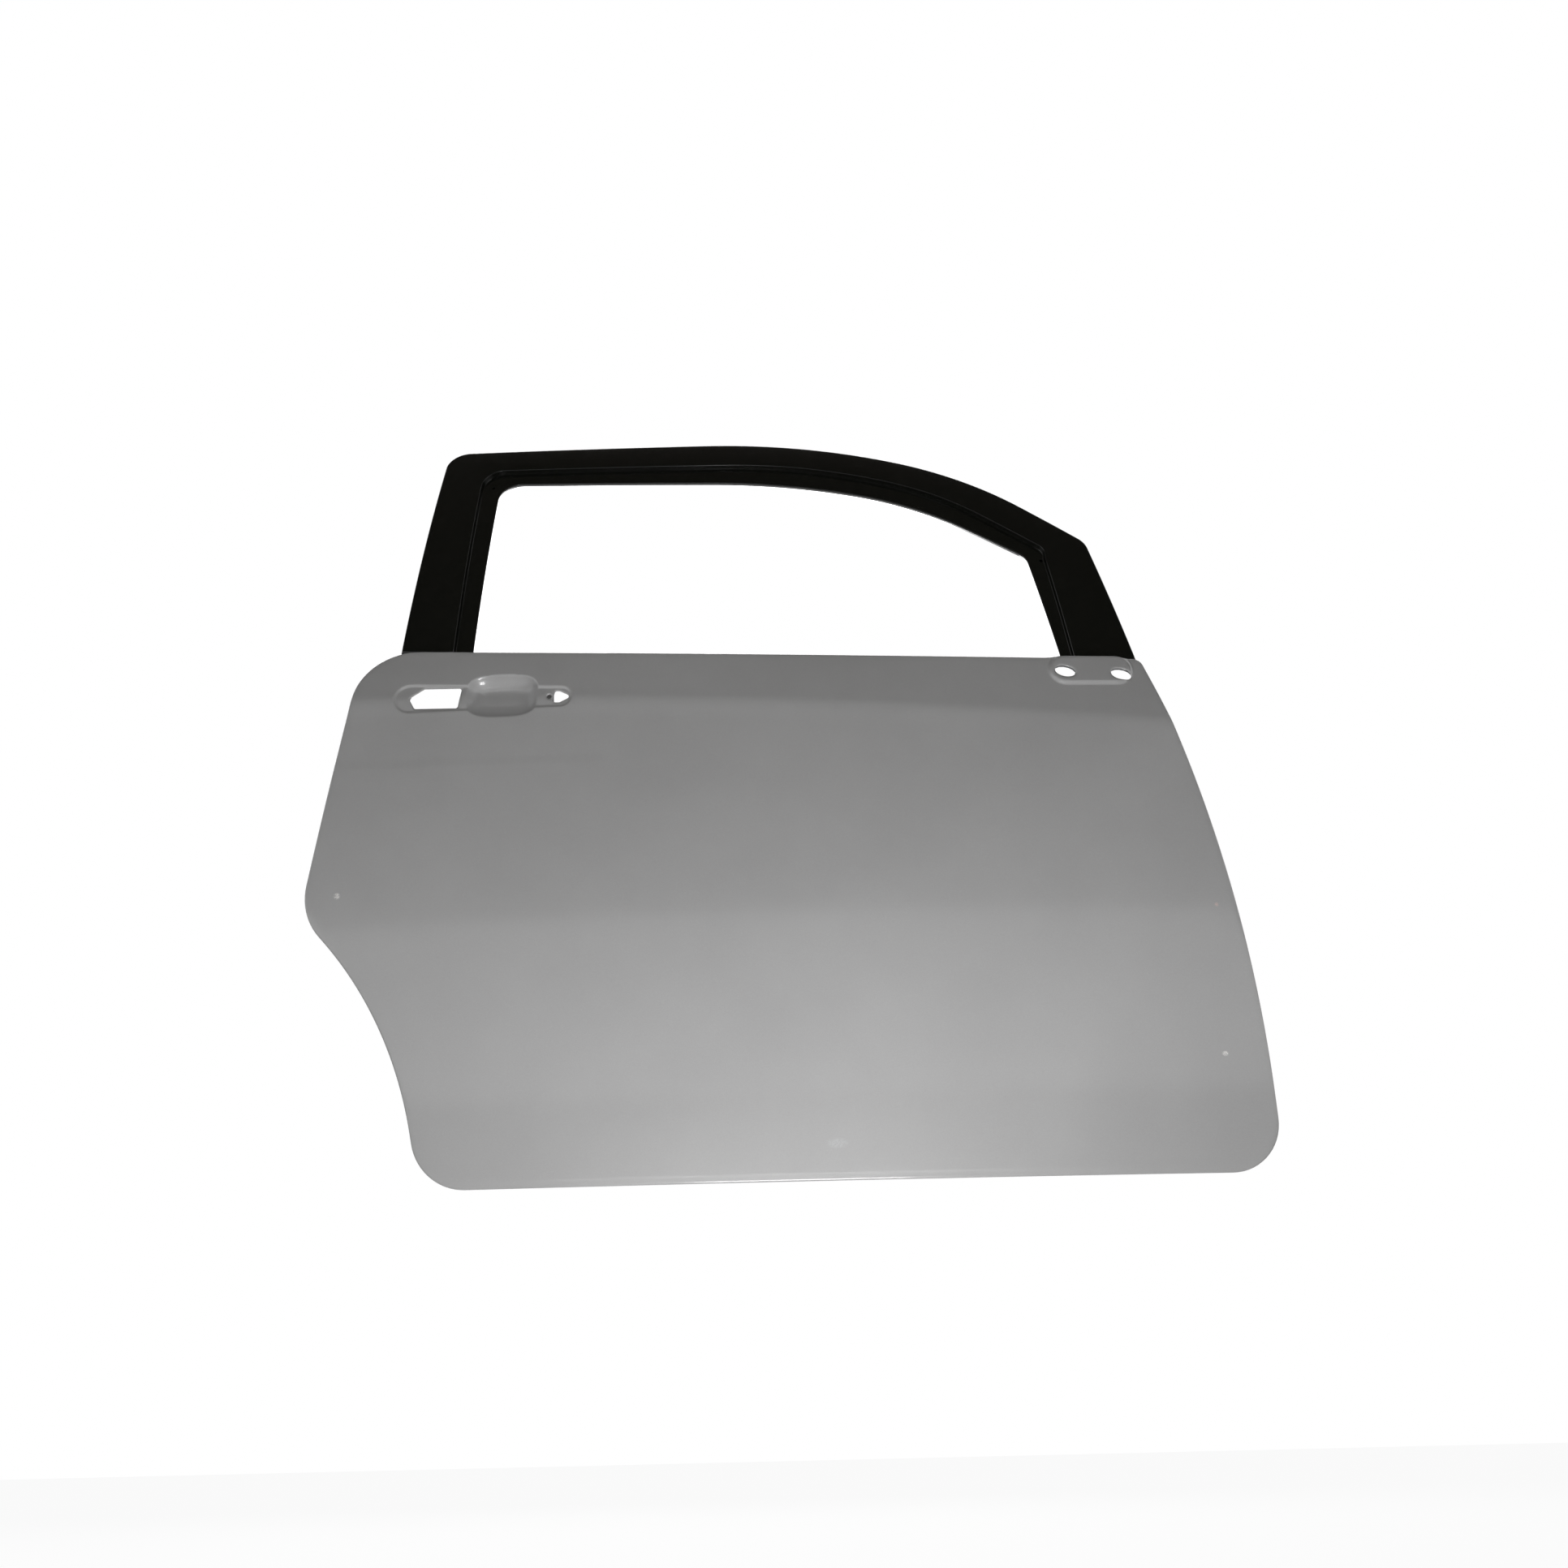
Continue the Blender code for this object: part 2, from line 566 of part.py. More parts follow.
def slope_share(x, z):
    top = belt_height(x) - PAN_TOP_AT_LEG
    return min(max((z - SLOPE_START) / (top - SLOPE_START), 0.0), 1.0)


def top_depth(x):
    """Depth of the inner panel near the belt, where it lies against the frame's inner flange."""
    return frame_depth(x, belt_height(x)) + FRAME_DEPTH - FRAME_SHEET - 2 * GAP


def main_depth(x, z):
    return MAIN_DEPTH + (top_depth(x) - MAIN_DEPTH) * slope_share(x, z)


def land_depth(x, z):
    return LAND_DEPTH + (top_depth(x) - LAND_TOP_STEP - LAND_DEPTH) * slope_share(x, z)


def flange_depth(x, z):
    return crown(x, z) + SKIN_SHEET + GAP + PAN_SHEET


def ring_rise(point, centre, inner, outer, rise):
    """Height of a rounded ring bead round a centre."""
    middle = (inner + outer) / 2
    away = abs(np.linalg.norm(point - centre) - middle) / ((outer - inner) / 2)
    return rise * smooth(2 * (1 - away))


SPEAKER = np.array((PANEL_LENGTH * SPEAKER_SHARES[0], PANEL_HEIGHT * SPEAKER_SHARES[1]))
SPEAKER_OUTER = SPEAKER_RADIUS + SPEAKER_RING
BEAD_ENDS = [np.array((PANEL_LENGTH * x, PANEL_HEIGHT * z)) for x, z in BEAD_SHARES]
BEAD_RIM = tapered_slot(BEAD_ENDS[0], BEAD_ENDS[1], BEAD_RADIUS, BEAD_RADIUS)
BEAD_TOP = tapered_slot(BEAD_ENDS[0], BEAD_ENDS[1], BEAD_RADIUS / 2, BEAD_RADIUS / 2)


def pan_depth(x, z):
    """Depth of the inner panel's main face with its pressed ring and bead."""
    point = np.array((x, z))
    bead = BEAD_RISE * smooth(distance_inside(BEAD_RIM, point) / (BEAD_RADIUS / 2))
    ring = ring_rise(point, SPEAKER, SPEAKER_RADIUS, SPEAKER_OUTER, SPEAKER_RISE)
    return main_depth(x, z) + bead + ring


# Meshes

def make_object(name, mesh, finish):
    obj = bpy.data.objects.new(name, mesh)
    bpy.context.scene.collection.objects.link(obj)
    mesh.materials.append(material(finish))
    return obj


def mesh_from(name, points, faces, facing=None):
    """Mesh of points and faces. Its faces are turned so that on the whole they look along facing."""
    mesh = bpy.data.meshes.new(name)
    work = bmesh.new()
    corners = [work.verts.new(Vector(point)) for point in points]
    for face in faces:
        work.faces.new([corners[index] for index in face])
    bmesh.ops.remove_doubles(work, verts=work.verts, dist=GAP / 100)
    bmesh.ops.recalc_face_normals(work, faces=work.faces)
    if facing is not None:
        looks = sum((face.normal * face.calc_area() for face in work.faces), Vector())
        if looks.dot(Vector(facing)) < 0:
            bmesh.ops.reverse_faces(work, faces=work.faces)
    work.to_mesh(mesh)
    work.free()
    mesh.shade_smooth()
    mesh.set_sharp_from_angle(angle=math.radians(35))
    return mesh


def thicken(obj, thickness):
    solid = obj.modifiers.new("sheet", "SOLIDIFY")
    solid.thickness = thickness
    solid.offset = -1
    solid.use_even_offset = True
    solid.use_quality_normals = True


def cut(obj, cutter):
    cutter.hide_render = True
    cutter.display_type = "WIRE"
    hole = obj.modifiers.new(cutter.name, "BOOLEAN")
    hole.operation = "DIFFERENCE"
    hole.object = cutter
    hole.solver = "EXACT"


def bridge(rails, closed):
    """Quads between neighbouring rails, which all have the same number of points."""
    count = len(rails[0])
    faces = []
    for rail in range(len(rails) - 1):
        for index in range(count if closed else count - 1):
            after = (index + 1) % count
            near, far = rail * count, (rail + 1) * count
            faces.append((near + index, near + after, far + after, far + index))
    return faces


def fill(rim, holes, marks, step):
    """Triangles inside a closed rim, round the holes, with every mark line kept as an edge."""
    points = []
    edges = []
    for line in [rim] + list(holes):
        first = len(points)
        points += [Vector((p[0], p[1])) for p in line]
        edges += [(first + index, first + (index + 1) % len(line)) for index in range(len(line))]
    for line, closed in marks:
        inside = [distance_inside(rim, np.array((p[0], p[1]))) > OVERRUN / 2 for p in line]
        place = {}
        for index, keep in enumerate(inside):
            if keep:
                place[index] = len(points)
                points.append(Vector((line[index][0], line[index][1])))
        for index in range(len(line) if closed else len(line) - 1):
            after = (index + 1) % len(line)
            if index in place and after in place:
                edges.append((place[index], place[after]))
    drawn = np.array(points)
    low = drawn.min(axis=0)
    high = drawn.max(axis=0)
    for x in np.arange(low[0] + step / 2, high[0], step):
        for z in np.arange(low[1] + step / 2, high[1], step):
            if np.linalg.norm(drawn - (x, z), axis=1).min() > step / 2:
                points.append(Vector((x, z)))
    coords, _, faces, origins, _, _ = delaunay_2d_cdt(points, edges, [], 0, GAP / 1000)
    kept = []
    for face in faces:
        middle = np.mean([coords[index] for index in face], axis=0)
        clear = GAP / 100
        outside = all(distance_inside(hole, middle) < -clear for hole in holes)
        if outside and distance_inside(rim, middle) > clear:
            kept.append(list(face))
    place = {}
    for index, sources in enumerate(origins):
        for source in sources:
            place[source] = index
    return coords, kept, [place[index] for index in range(len(rim))]


def pressed_sheet(name, rails, holes, marks, step, depth, thickness, finish, facing):
    """A pressing: bands between rails, and a face filled inside the last rail, lifted by depth(x, z)."""
    points = [tuple(point) for rail in rails for point in rail]
    faces = bridge(rails, True)
    first = len(points) - len(rails[-1])
    coords, filled, order = fill([(p[0], p[2]) for p in rails[-1]], holes, marks, step)
    index_of = {index: first + position for position, index in enumerate(order)}
    for face in filled:
        for index in face:
            if index not in index_of:
                x, z = coords[index]
                index_of[index] = len(points)
                points.append((x, depth(x, z), z))
        faces.append([index_of[index] for index in face])
    obj = make_object(name, mesh_from(name, points, faces, facing), finish)
    thicken(obj, thickness)
    return obj


def banded_sheet(name, rails, thickness, finish, facing):
    """A folded strip: bands between rails, thickened away from the side that looks along facing."""
    points = [tuple(point) for rail in rails for point in rail]
    obj = make_object(name, mesh_from(name, points, bridge(rails, False), facing), finish)
    thicken(obj, thickness)
    return obj


def flat_plate(name, loop, holes, place, thickness, finish):
    """A flat plate: an outline with holes, filled and given its thickness. place(u, v, w) sets it in space."""
    coords, faces, _ = fill(loop, holes, [], 1.0)
    count = len(coords)
    points = [place(u, v, w) for w in (0.0, thickness) for u, v in coords]
    sides = [tuple(face) for face in faces]
    sides += [tuple(count + index for index in reversed(face)) for face in faces]
    used = {}
    for face in faces:
        for index in range(len(face)):
            pair = (face[index], face[(index + 1) % len(face)])
            used[pair] = True
    for start, end in used:
        if (end, start) not in used:
            sides.append((end, start, count + start, count + end))
    return make_object(name, mesh_from(name, points, sides), finish)


def prism(name, loop, low, high):
    """Cutter along Y with a drawn outline in X and Z."""
    count = len(loop)
    points = [(p[0], y, p[1]) for y in (low, high) for p in loop]
    faces = [tuple(range(count)), tuple(range(2 * count - 1, count - 1, -1))]
    faces += [(i, count + i, count + (i + 1) % count, (i + 1) % count) for i in range(count)]
    return make_object(name, mesh_from(name, points, faces), STEEL)


# Outer panel

def make_outer_panel():
    half = HEM_DEPTH / 2
    near = half * HEM_ROUND_SHARE
    bend = [(PAN_EDGE_INSET, 0.0), (near, near), (0.0, half), (near, HEM_DEPTH - near), (PAN_EDGE_INSET, HEM_DEPTH),
            (HEM_RETURN, HEM_DEPTH)]
    rails = []
    for inset, inboard in reversed(bend):
        rail = []
        for x, z in panel_loop(inset):
            lifted = z + belt_lift(x, z)
            rail.append((x, skin_depth(x, lifted) + inboard, lifted))
        rails.append(rail)
    crease = [(x, crease_height(x)) for x in np.linspace(PANEL_LENGTH * 0.05, PANEL_LENGTH * 0.925, 17)]
    marks = [([(x, z + offset) for x, z in crease], False) for offset in (-CREASE_ROUND, CREASE_ROUND)]
    marks += [(SEAT_RIM, True), (SEAT_FLOOR, True), (PAD_RIM, True), (PAD_TOP, True), (CUP_RIM, True)]
    for share in (0.3, 0.65, 1.0):
        marks.append((oval(CUP_CENTRE, CUP_HALF_LENGTH, CUP_HALF_HEIGHT, CUP_WALL * share), True))
    holes = [LATCH_HOLE, LOCK_HOLE, SCREW_HOLE] + MIRROR_HOLES
    pressed_sheet("outer_panel", rails, holes, marks, GRID_STEP, skin_depth, SKIN_SHEET, SKIN_PAINT,
                  (0, -1, 0))


# Inner panel

class ShutFace:
    """A flat pad on the front or the rear wall of the inner panel, or a plain place on that wall."""

    def __init__(self, front, height, padded):
        self.height = height
        self.inward = np.array((-1.0, 0.0)) if front else np.array((1.0, 0.0))
        low, high = FRONT_HALF if front else REAR_HALF
        edge = [(p, n) for p, n in STATIONS if low[0] <= p[0] <= high[0] and low[1] <= p[1] <= high[1]]
        edge.sort(key=lambda station: station[0][1])
        heights = [point[1] for point, _ in edge]
        reach = [point[0] for point, _ in edge]
        self.padded = padded
        if padded:
            ends = [np.interp(height + side * PAD_HALF, heights, reach) for side in (-1, 1)]
            self.edge = np.array((min(ends) if front else max(ends), height))
            self.inward_here = self.inward
        else:
            self.edge = np.array((np.interp(height, heights, reach), height))
            nearest = min(edge, key=lambda station: abs(station[0][1] - height))
            self.inward_here = nearest[1]

    def covers(self, point):
        beside = abs(point[0] - self.edge[0]) < PAD_HALF
        return self.padded and beside and abs(point[1] - self.height) < PAD_HALF + GAP

    def frame(self, depth):
        """Centre of the wall's visible face at a depth, and its directions inboard, up and into the door."""
        draft = 0.0 if self.padded else WALL_DRAFT
        foot = self.edge + self.inward_here * WALL_INSET
        top = self.edge + self.inward_here * (WALL_INSET + draft)
        low = Vector((foot[0], flange_depth(foot[0], foot[1]), foot[1]))
        high = Vector((top[0], land_depth(top[0], top[1]) - BEND, top[1]))
        across = (high - low).normalized()
        inward = Vector((self.inward_here[0], 0.0, self.inward_here[1]))
        inward = (inward - across * inward.dot(across)).normalized()
        up = across.cross(inward).normalized()
        if up.z < 0:
            up = -up
        return low + across * ((depth - low.y) / across.y), across, up, inward


UPPER_HINGE = ShutFace(True, UPPER_HINGE_HEIGHT, True)
LOWER_HINGE = ShutFace(True, LOWER_HINGE_HEIGHT, True)
CHECK = ShutFace(True, CHECK_HEIGHT, False)
LATCH = ShutFace(False, LATCH_HEIGHT, True)


def pan_top(x):
    """Drop of the inner panel's top edge below the belt: it passes under the legs of the window frame."""
    rear, front = LEG_ENDS
    clear = PANEL_LENGTH * rear < x < PANEL_LENGTH * front
    return PAN_TOP if clear else PAN_TOP_AT_LEG


def at_belt(point):
    return point[1] > belt_height(point[0]) - PAN_TOP_AT_LEG * 0.65


def belt_taper(x):
    """Sideways step from one rail to the next near the ends of the top edge, where the shut faces begin."""
    rear = PAN_TAPER_REAR * max(0.0, 1 - (x - STRIP_REAR) / PAN_TAPER_REACH)
    front = PAN_TAPER_FRONT * max(0.0, 1 - (STRIP_FRONT - x) / PAN_TAPER_REACH)
    return rear - front


STRIP_REAR = min(point[0] for point, _ in STATIONS if at_belt(point))
STRIP_FRONT = max(point[0] for point, _ in STATIONS if at_belt(point))


def pan_rails():
    land_end = WALL_INSET + WALL_DRAFT + BEND + LAND_WIDTH
    profile = [
        (PAN_EDGE_INSET, flange_depth, 0.0),
        (WALL_INSET - FOOT_BEND, flange_depth, 0.0),
        (WALL_INSET, flange_depth, -FOOT_BEND),
        (WALL_INSET + WALL_DRAFT, land_depth, BEND),
        (WALL_INSET + WALL_DRAFT + BEND, land_depth, 0.0),
        (land_end, land_depth, 0.0),
        (land_end + STEP_DRAFT, main_depth, BEND),
        (land_end + STEP_DRAFT + BEND, main_depth, 0.0),
    ]
    faces = (UPPER_HINGE, LOWER_HINGE, LATCH)
    rails = [[] for _ in profile]
    for index, (point, inward) in enumerate(STATIONS):
        beside = STATIONS[index - 1][0], STATIONS[(index + 1) % len(STATIONS)][0]
        last = any(at_belt(neighbour) for neighbour in beside)
        pad = next((face for face in faces if face.covers(point)), None)
        notch = NOTCH_DEPTH if abs(point[0] - NOTCH) < GAP and point[1] < GAP else 0.0
        for level, (inset, depth, back) in enumerate(profile):
            if at_belt(point):
                x = point[0] + belt_taper(point[0]) * level
                z = belt_height(x) - pan_top(point[0]) - level * PAN_TOP_STRIP
                rails[level].append((x, main_depth(x, z), z))
                continue
            if last and level < 2:
                inset = HEM_RETURN + (2 + level) * GAP
            place = point + inward * (inset + (notch if level in (3, 4) else 0.0))
            if pad and level:
                draft = WALL_DRAFT if level > 2 else 0.0
                place = np.array((pad.edge[0], point[1])) + pad.inward * (inset - draft)
            rails[level].append((place[0], depth(place[0], place[1]) - back, place[1]))
    return rails


def slot_loop(length, width):
    end = np.array(((length - width) / 2, 0.0))
    return tapered_slot(-end, end, width / 2, width / 2)


def box_loop(width, height, radius, facets=3):
    half = np.array((width, height)) / 2
    corners = [(half * np.array(sign), radius) for sign in ((-1, -1), (1, -1), (1, 1), (-1, 1))]
    return rounded_loop(corners, [facets] * len(corners), [1] * len(corners))


def place_on(face, depth, start):
    """Places a flat piece on the inside of a shut face's wall, its first side start behind the visible face."""
    centre, across, up, inward = face.frame(depth)
    return lambda u, v, w: centre + across * u + up * v + inward * (start + w)


def wall_cutter(name, face, loop):
    place = place_on(face, SHUT_FACE_DEPTH, -OVERRUN)
    return flat_plate(name, loop, [], place, 2 * OVERRUN + PAN_SHEET, STEEL)


def bolt_places():
    return [np.array((0.0, side * HINGE_BOLT_SPACING / 2)) for side in (-1, 1)]


def latch_screws():
    half = LATCH_SCREW_SPACING / 2
    return [np.array((-half / 3, -half)), np.array((half / 3, -half)), np.array((0.0, half))]


def make_inner_panel():
    holes = [shares_loop(SERVICE_HOLE_SHARES, SERVICE_HOLE_RADIUS, 5), circle(SPEAKER, SPEAKER_RADIUS, 20)]
    holes.append(shares_loop(HAND_HOLE_SHARES, HAND_HOLE_RADIUS, 3))
    holes.append(shares_loop(HANDLE_ACCESS_SHARES, ACCESS_RADIUS, 2))
    holes.append(shares_loop(LOCK_ACCESS_SHARES, ACCESS_RADIUS, 2))
    level = [(x, SLOPE_START) for x in np.linspace(0.0, PANEL_LENGTH, 19)]
    marks = [(circle(SPEAKER, SPEAKER_RADIUS + SPEAKER_RING * share, 20), True) for share in (0.25, 0.75, 1.0)]
    marks += [(BEAD_RIM, True), (BEAD_TOP, True), (level, False)]
    pan = pressed_sheet("inner_panel", pan_rails(), holes, marks, MAIN_GRID_STEP, pan_depth, PAN_SHEET,
                        PAN_PAINT, (0, 1, 0))
    for name, face in (("upper", UPPER_HINGE), ("lower", LOWER_HINGE)):
        for index, place in enumerate(bolt_places()):
            loop = circle(place, HINGE_BOLT_RADIUS)
            cut(pan, wall_cutter(f"cut_{name}_bolt_{index + 1}", face, loop))
    cut(pan, wall_cutter("cut_check", CHECK, slot_loop(CHECK_SLOT_LENGTH, CHECK_SLOT_WIDTH)))
    cut(pan, wall_cutter("cut_latch", LATCH, box_loop(LATCH_SLOT_DEPTH, LATCH_SLOT_HEIGHT, PLATE_RADIUS)))
    for index, place in enumerate(latch_screws()):
        cut(pan, wall_cutter(f"cut_latch_screw_{index + 1}", LATCH, circle(place, LATCH_SCREW_RADIUS, 10)))


# Window frame

def frame_point(shares):
    return np.array((PANEL_LENGTH * shares[0], PANEL_HEIGHT + (DOOR_HEIGHT - PANEL_HEIGHT) * shares[1]))


def frame_stations():
    """Matching points and outward normals of the opening and the outer edge, and the step's share between."""
    facets = [row[4] for row in FRAME_SHARES]
    runs = [row[5] for row in FRAME_SHARES]
    sides = []
    for which in (1, 0):
        corners = [(frame_point(row[which]), row[2 + which]) for row in FRAME_SHARES]
        sides.append(rounded_path(corners, facets, runs, False))
    middles = []
    start = 0
    for arc, run in zip(facets, runs):
        middles.append(start + arc / 2)
        start += arc + max(run, 1)
    steps = np.interp(range(len(sides[0])), middles, [row[6] for row in FRAME_SHARES])
    return list(zip(sides[0], sides[1], steps))


FRAME_PATH = frame_stations()


def frame_rail(line, offset, inboard):
    """A line along the frame: a distance outward from the opening, the step or the outer edge."""
    rail = []
    for (opening, near), (outer, far), step in FRAME_PATH:
        share = {"opening": 0.0, "step": step, "outer": 1.0}[line]
        outward = unit(near + (far - near) * share)
        place = opening + (outer - opening) * share + outward * offset
        rail.append((place[0], frame_depth(place[0], place[1]) + inboard, place[1]))
    return rail


def make_frame_outer():
    rails = [
        frame_rail("outer", 0.0, OUTER_RETURN),
        frame_rail("outer", 0.0, FRAME_ROUND),
        frame_rail("outer", -FRAME_ROUND, 0.0),
        frame_rail("step", FRAME_ROUND, 0.0),
        frame_rail("step", 0.0, FRAME_ROUND),
        frame_rail("step", -FRAME_ROUND, REBATE_DEPTH),
        frame_rail("opening", FRAME_ROUND, REBATE_DEPTH),
        frame_rail("opening", 0.0, REBATE_DEPTH + FRAME_ROUND),
        frame_rail("opening", 0.0, INNER_LIP),
    ]
    obj = banded_sheet("frame_outer", rails, FRAME_SHEET, FRAME_PAINT, (0, -1, 0))
    for index, shares in enumerate(CORNER_HOLE_SHARES):
        centre = frame_point(shares)
        depth = frame_depth(centre[0], centre[1]) + REBATE_DEPTH
        cut(obj, prism(f"cut_corner_{index + 1}", circle(centre, CORNER_HOLE_RADIUS, 8), depth - OVERRUN,
                       depth + OVERRUN))


def make_frame_inner():
    slip = FRAME_SHEET + GAP
    start = OUTER_RETURN - WELD_LAP
    rails = [
        frame_rail("outer", -slip, start),
        frame_rail("outer", -slip, OUTER_RETURN),
        frame_rail("outer", -INNER_SLOPE, FRAME_DEPTH - BEND),
        frame_rail("outer", -INNER_SLOPE - BEND, FRAME_DEPTH),
        frame_rail("opening", slip + BEND + OPENING_SLOPE, FRAME_DEPTH),
        frame_rail("opening", slip + OPENING_SLOPE, FRAME_DEPTH - BEND),
        frame_rail("opening", slip, INNER_LIP),
        frame_rail("opening", slip, REBATE_DEPTH + 2 * FRAME_SHEET),
    ]
    count = len(rails[0])
    points = [point for rail in rails for point in rail]
    faces = bridge(rails, False)
    for end in (0, count - 1):
        near, far = 3 * count + end, 4 * count + end
        for share in (0.5, 1.0):
            row = []
            for x, _, z in (points[3 * count + end], points[4 * count + end]):
                level = z - LAP_FLANGE * share
                row.append(len(points))
                points.append((x, main_depth(x, level) + GAP + FRAME_SHEET, level))
            faces.append((near, far, row[1], row[0]))
            near, far = row
    obj = make_object("frame_inner", mesh_from("frame_inner", points, faces, (0, 1, 0)), FRAME_PAINT)
    thicken(obj, FRAME_SHEET)
    for index, hole in enumerate(MIRROR_HOLES):
        x, z = np.mean(hole, axis=0) + np.array((MIRROR_ACCESS_FORWARD[index], MIRROR_ACCESS_RISE))
        depth = top_depth(x)
        cut(obj, prism(f"cut_mirror_access_{index + 1}", circle(np.array((x, z)), MIRROR_ACCESS_RADIUS),
                       depth - FRAME_DEPTH, depth + FRAME_DEPTH / 2))


# Belt reinforcements

def belt_strip(name, ends, profile, finish, facing):
    """A hat section along the belt: profile rows are drop below the belt and a depth function."""
    span = np.linspace(PANEL_LENGTH * ends[0], PANEL_LENGTH * ends[1], RAIL_PIECES + 1)
    rails = []
    for drop, depth in profile:
        rail = []
        for x in span:
            z = belt_height(x) - drop
            rail.append((x, depth(x, z), z))
        rails.append(rail)
    return banded_sheet(name, rails, RAIL_SHEET, finish, facing)


def make_outer_rail():
    def against_hem(x, z):
        return crown(x, z) + HEM_DEPTH + GAP + RAIL_SHEET

    def against_skin(x, z):
        return crown(x, z) + SKIN_SHEET + GAP + RAIL_SHEET

    def crest(x, z):
        return crown(x, z) + HEM_DEPTH + OUTER_RAIL_DEPTH

    top = PAN_TOP + GAP
    foot = top + OUTER_RAIL_HEIGHT
    rows = [
        (top, against_hem),
        (top + RAIL_FLANGE, against_hem),
        (top + RAIL_FLANGE + RAIL_DRAFT, crest),
        (foot - RAIL_FLANGE - RAIL_DRAFT, crest),
        (foot - RAIL_FLANGE, against_skin),
        (foot, against_skin),
    ]
    belt_strip("outer_waist_rail", OUTER_RAIL_ENDS, rows, PRIMER, (0, 1, 0))


def make_inner_rail():
    def against_pan(x, z):
        return main_depth(x, z) - PAN_SHEET - GAP

    def crest(x, z):
        return main_depth(x, z) - PAN_SHEET - INNER_RAIL_DEPTH

    top = PAN_TOP + RAIL_SHEET
    foot = top + INNER_RAIL_HEIGHT
    rows = [
        (top, against_pan),
        (top + RAIL_FLANGE, against_pan),
        (top + RAIL_FLANGE + RAIL_DRAFT, crest),
        (foot - RAIL_FLANGE - RAIL_DRAFT, crest),
        (foot - RAIL_FLANGE, against_pan),
        (foot, against_pan),
    ]
    belt_strip("inner_waist_rail", INNER_RAIL_ENDS, rows, PRIMER, (0, 1, 0))


# Glass guides

def glass_depth(x, z):
    """Depth of the middle of the glass below the belt."""
    belt = belt_height(x)
    rise = z - belt
    lean = LEAN_AT_BELT_SHARE * rise + rise * rise / (2 * GLASS_RADIUS)
    return crown(x, belt) + HEM_DEPTH + OUTER_RAIL_DEPTH + GUIDE_WIDTH / 2 + GUIDE_SETBACK + lean


def make_guide(name, share, ahead):
    """Channel that holds one edge of the glass. It opens forward or rearward, and ahead gives which."""
    x = PANEL_LENGTH * share
    levels = np.linspace(belt_height(x) - GUIDE_TOP, belt_height(x) - GUIDE_BOTTOM, 7)
    corners = [(GUIDE_DEPTH, -GUIDE_WIDTH / 2), (0.0, -GUIDE_WIDTH / 2), (0.0, GUIDE_WIDTH / 2),
               (GUIDE_DEPTH, GUIDE_WIDTH / 2)]
    rails = [[(x + ahead * along, glass_depth(x, z) + side, z) for z in levels] for along, side in corners]
    banded_sheet(name, rails, RAIL_SHEET, PRIMER, (-ahead, 0, 0))
    level = belt_height(x) - GUIDE_BRACKET_DROP
    low, high = level - GUIDE_BRACKET_WIDTH / 2, level + GUIDE_BRACKET_WIDTH / 2
    back = x - ahead * GAP
    rails = []
    for z in (low, high):
        toe = back - ahead * GUIDE_FOOT
        near = (back, glass_depth(x, z) - GUIDE_WIDTH / 2, z)
        heel = (back, main_depth(back, z) - PAN_SHEET - 2 * GAP, z)
        rails.append([near, heel, (toe, main_depth(toe, z) - PAN_SHEET - 2 * GAP, z)])
    banded_sheet(name + "_bracket", rails, RAIL_SHEET, PRIMER, (ahead, 0, 0))


# Side-impact beam

def beam_path():
    rear = np.array((PANEL_LENGTH * BEAM_REAR_SHARES[0], PANEL_HEIGHT * BEAM_REAR_SHARES[1]))
    front = np.array((PANEL_LENGTH * BEAM_FRONT_SHARES[0], PANEL_HEIGHT * BEAM_FRONT_SHARES[1]))
    return [rear + (front - rear) * share for share in np.linspace(0.0, 1.0, BEAM_PIECES + 1)]


def beam_depth(x, z):
    return crown(x, z) + SKIN_SHEET + BEAM_STANDOFF + BEAM_RADIUS


def beam_side(x):
    """Depth of the beam's inboard face at a place along it."""
    path = beam_path()
    depths = [beam_depth(place[0], place[1]) for place in path]
    middle = float(np.interp(x, [place[0] for place in path], depths))
    return middle + BEAM_RADIUS * math.cos(math.pi / BEAM_FACETS)


def make_beam():
    path = beam_path()
    slope = unit(path[-1] - path[0])
    up = Vector((-slope[1], 0.0, slope[0]))
    points = []
    for radius in (BEAM_RADIUS, BEAM_RADIUS - BEAM_WALL):
        for place in path:
            centre = Vector((place[0], beam_depth(place[0], place[1]), place[1]))
            for index in range(BEAM_FACETS):
                angle = 2 * math.pi * (index + 0.5) / BEAM_FACETS
                points.append(centre + radius * (math.cos(angle) * Vector((0, 1, 0)) + math.sin(angle) * up))
    rings = [list(range(first, first + BEAM_FACETS)) for first in range(0, len(points), BEAM_FACETS)]
    outer, inner = rings[:len(path)], rings[len(path):]
    loop = outer + inner[::-1] + [outer[0]]
    faces = []
    for near, far in zip(loop, loop[1:]):
        for index in range(BEAM_FACETS):
            after = (index + 1) % BEAM_FACETS
            faces.append((near[index], near[after], far[after], far[index]))
    make_object("impact_beam", mesh_from("impact_beam", points, faces), PRIMER)


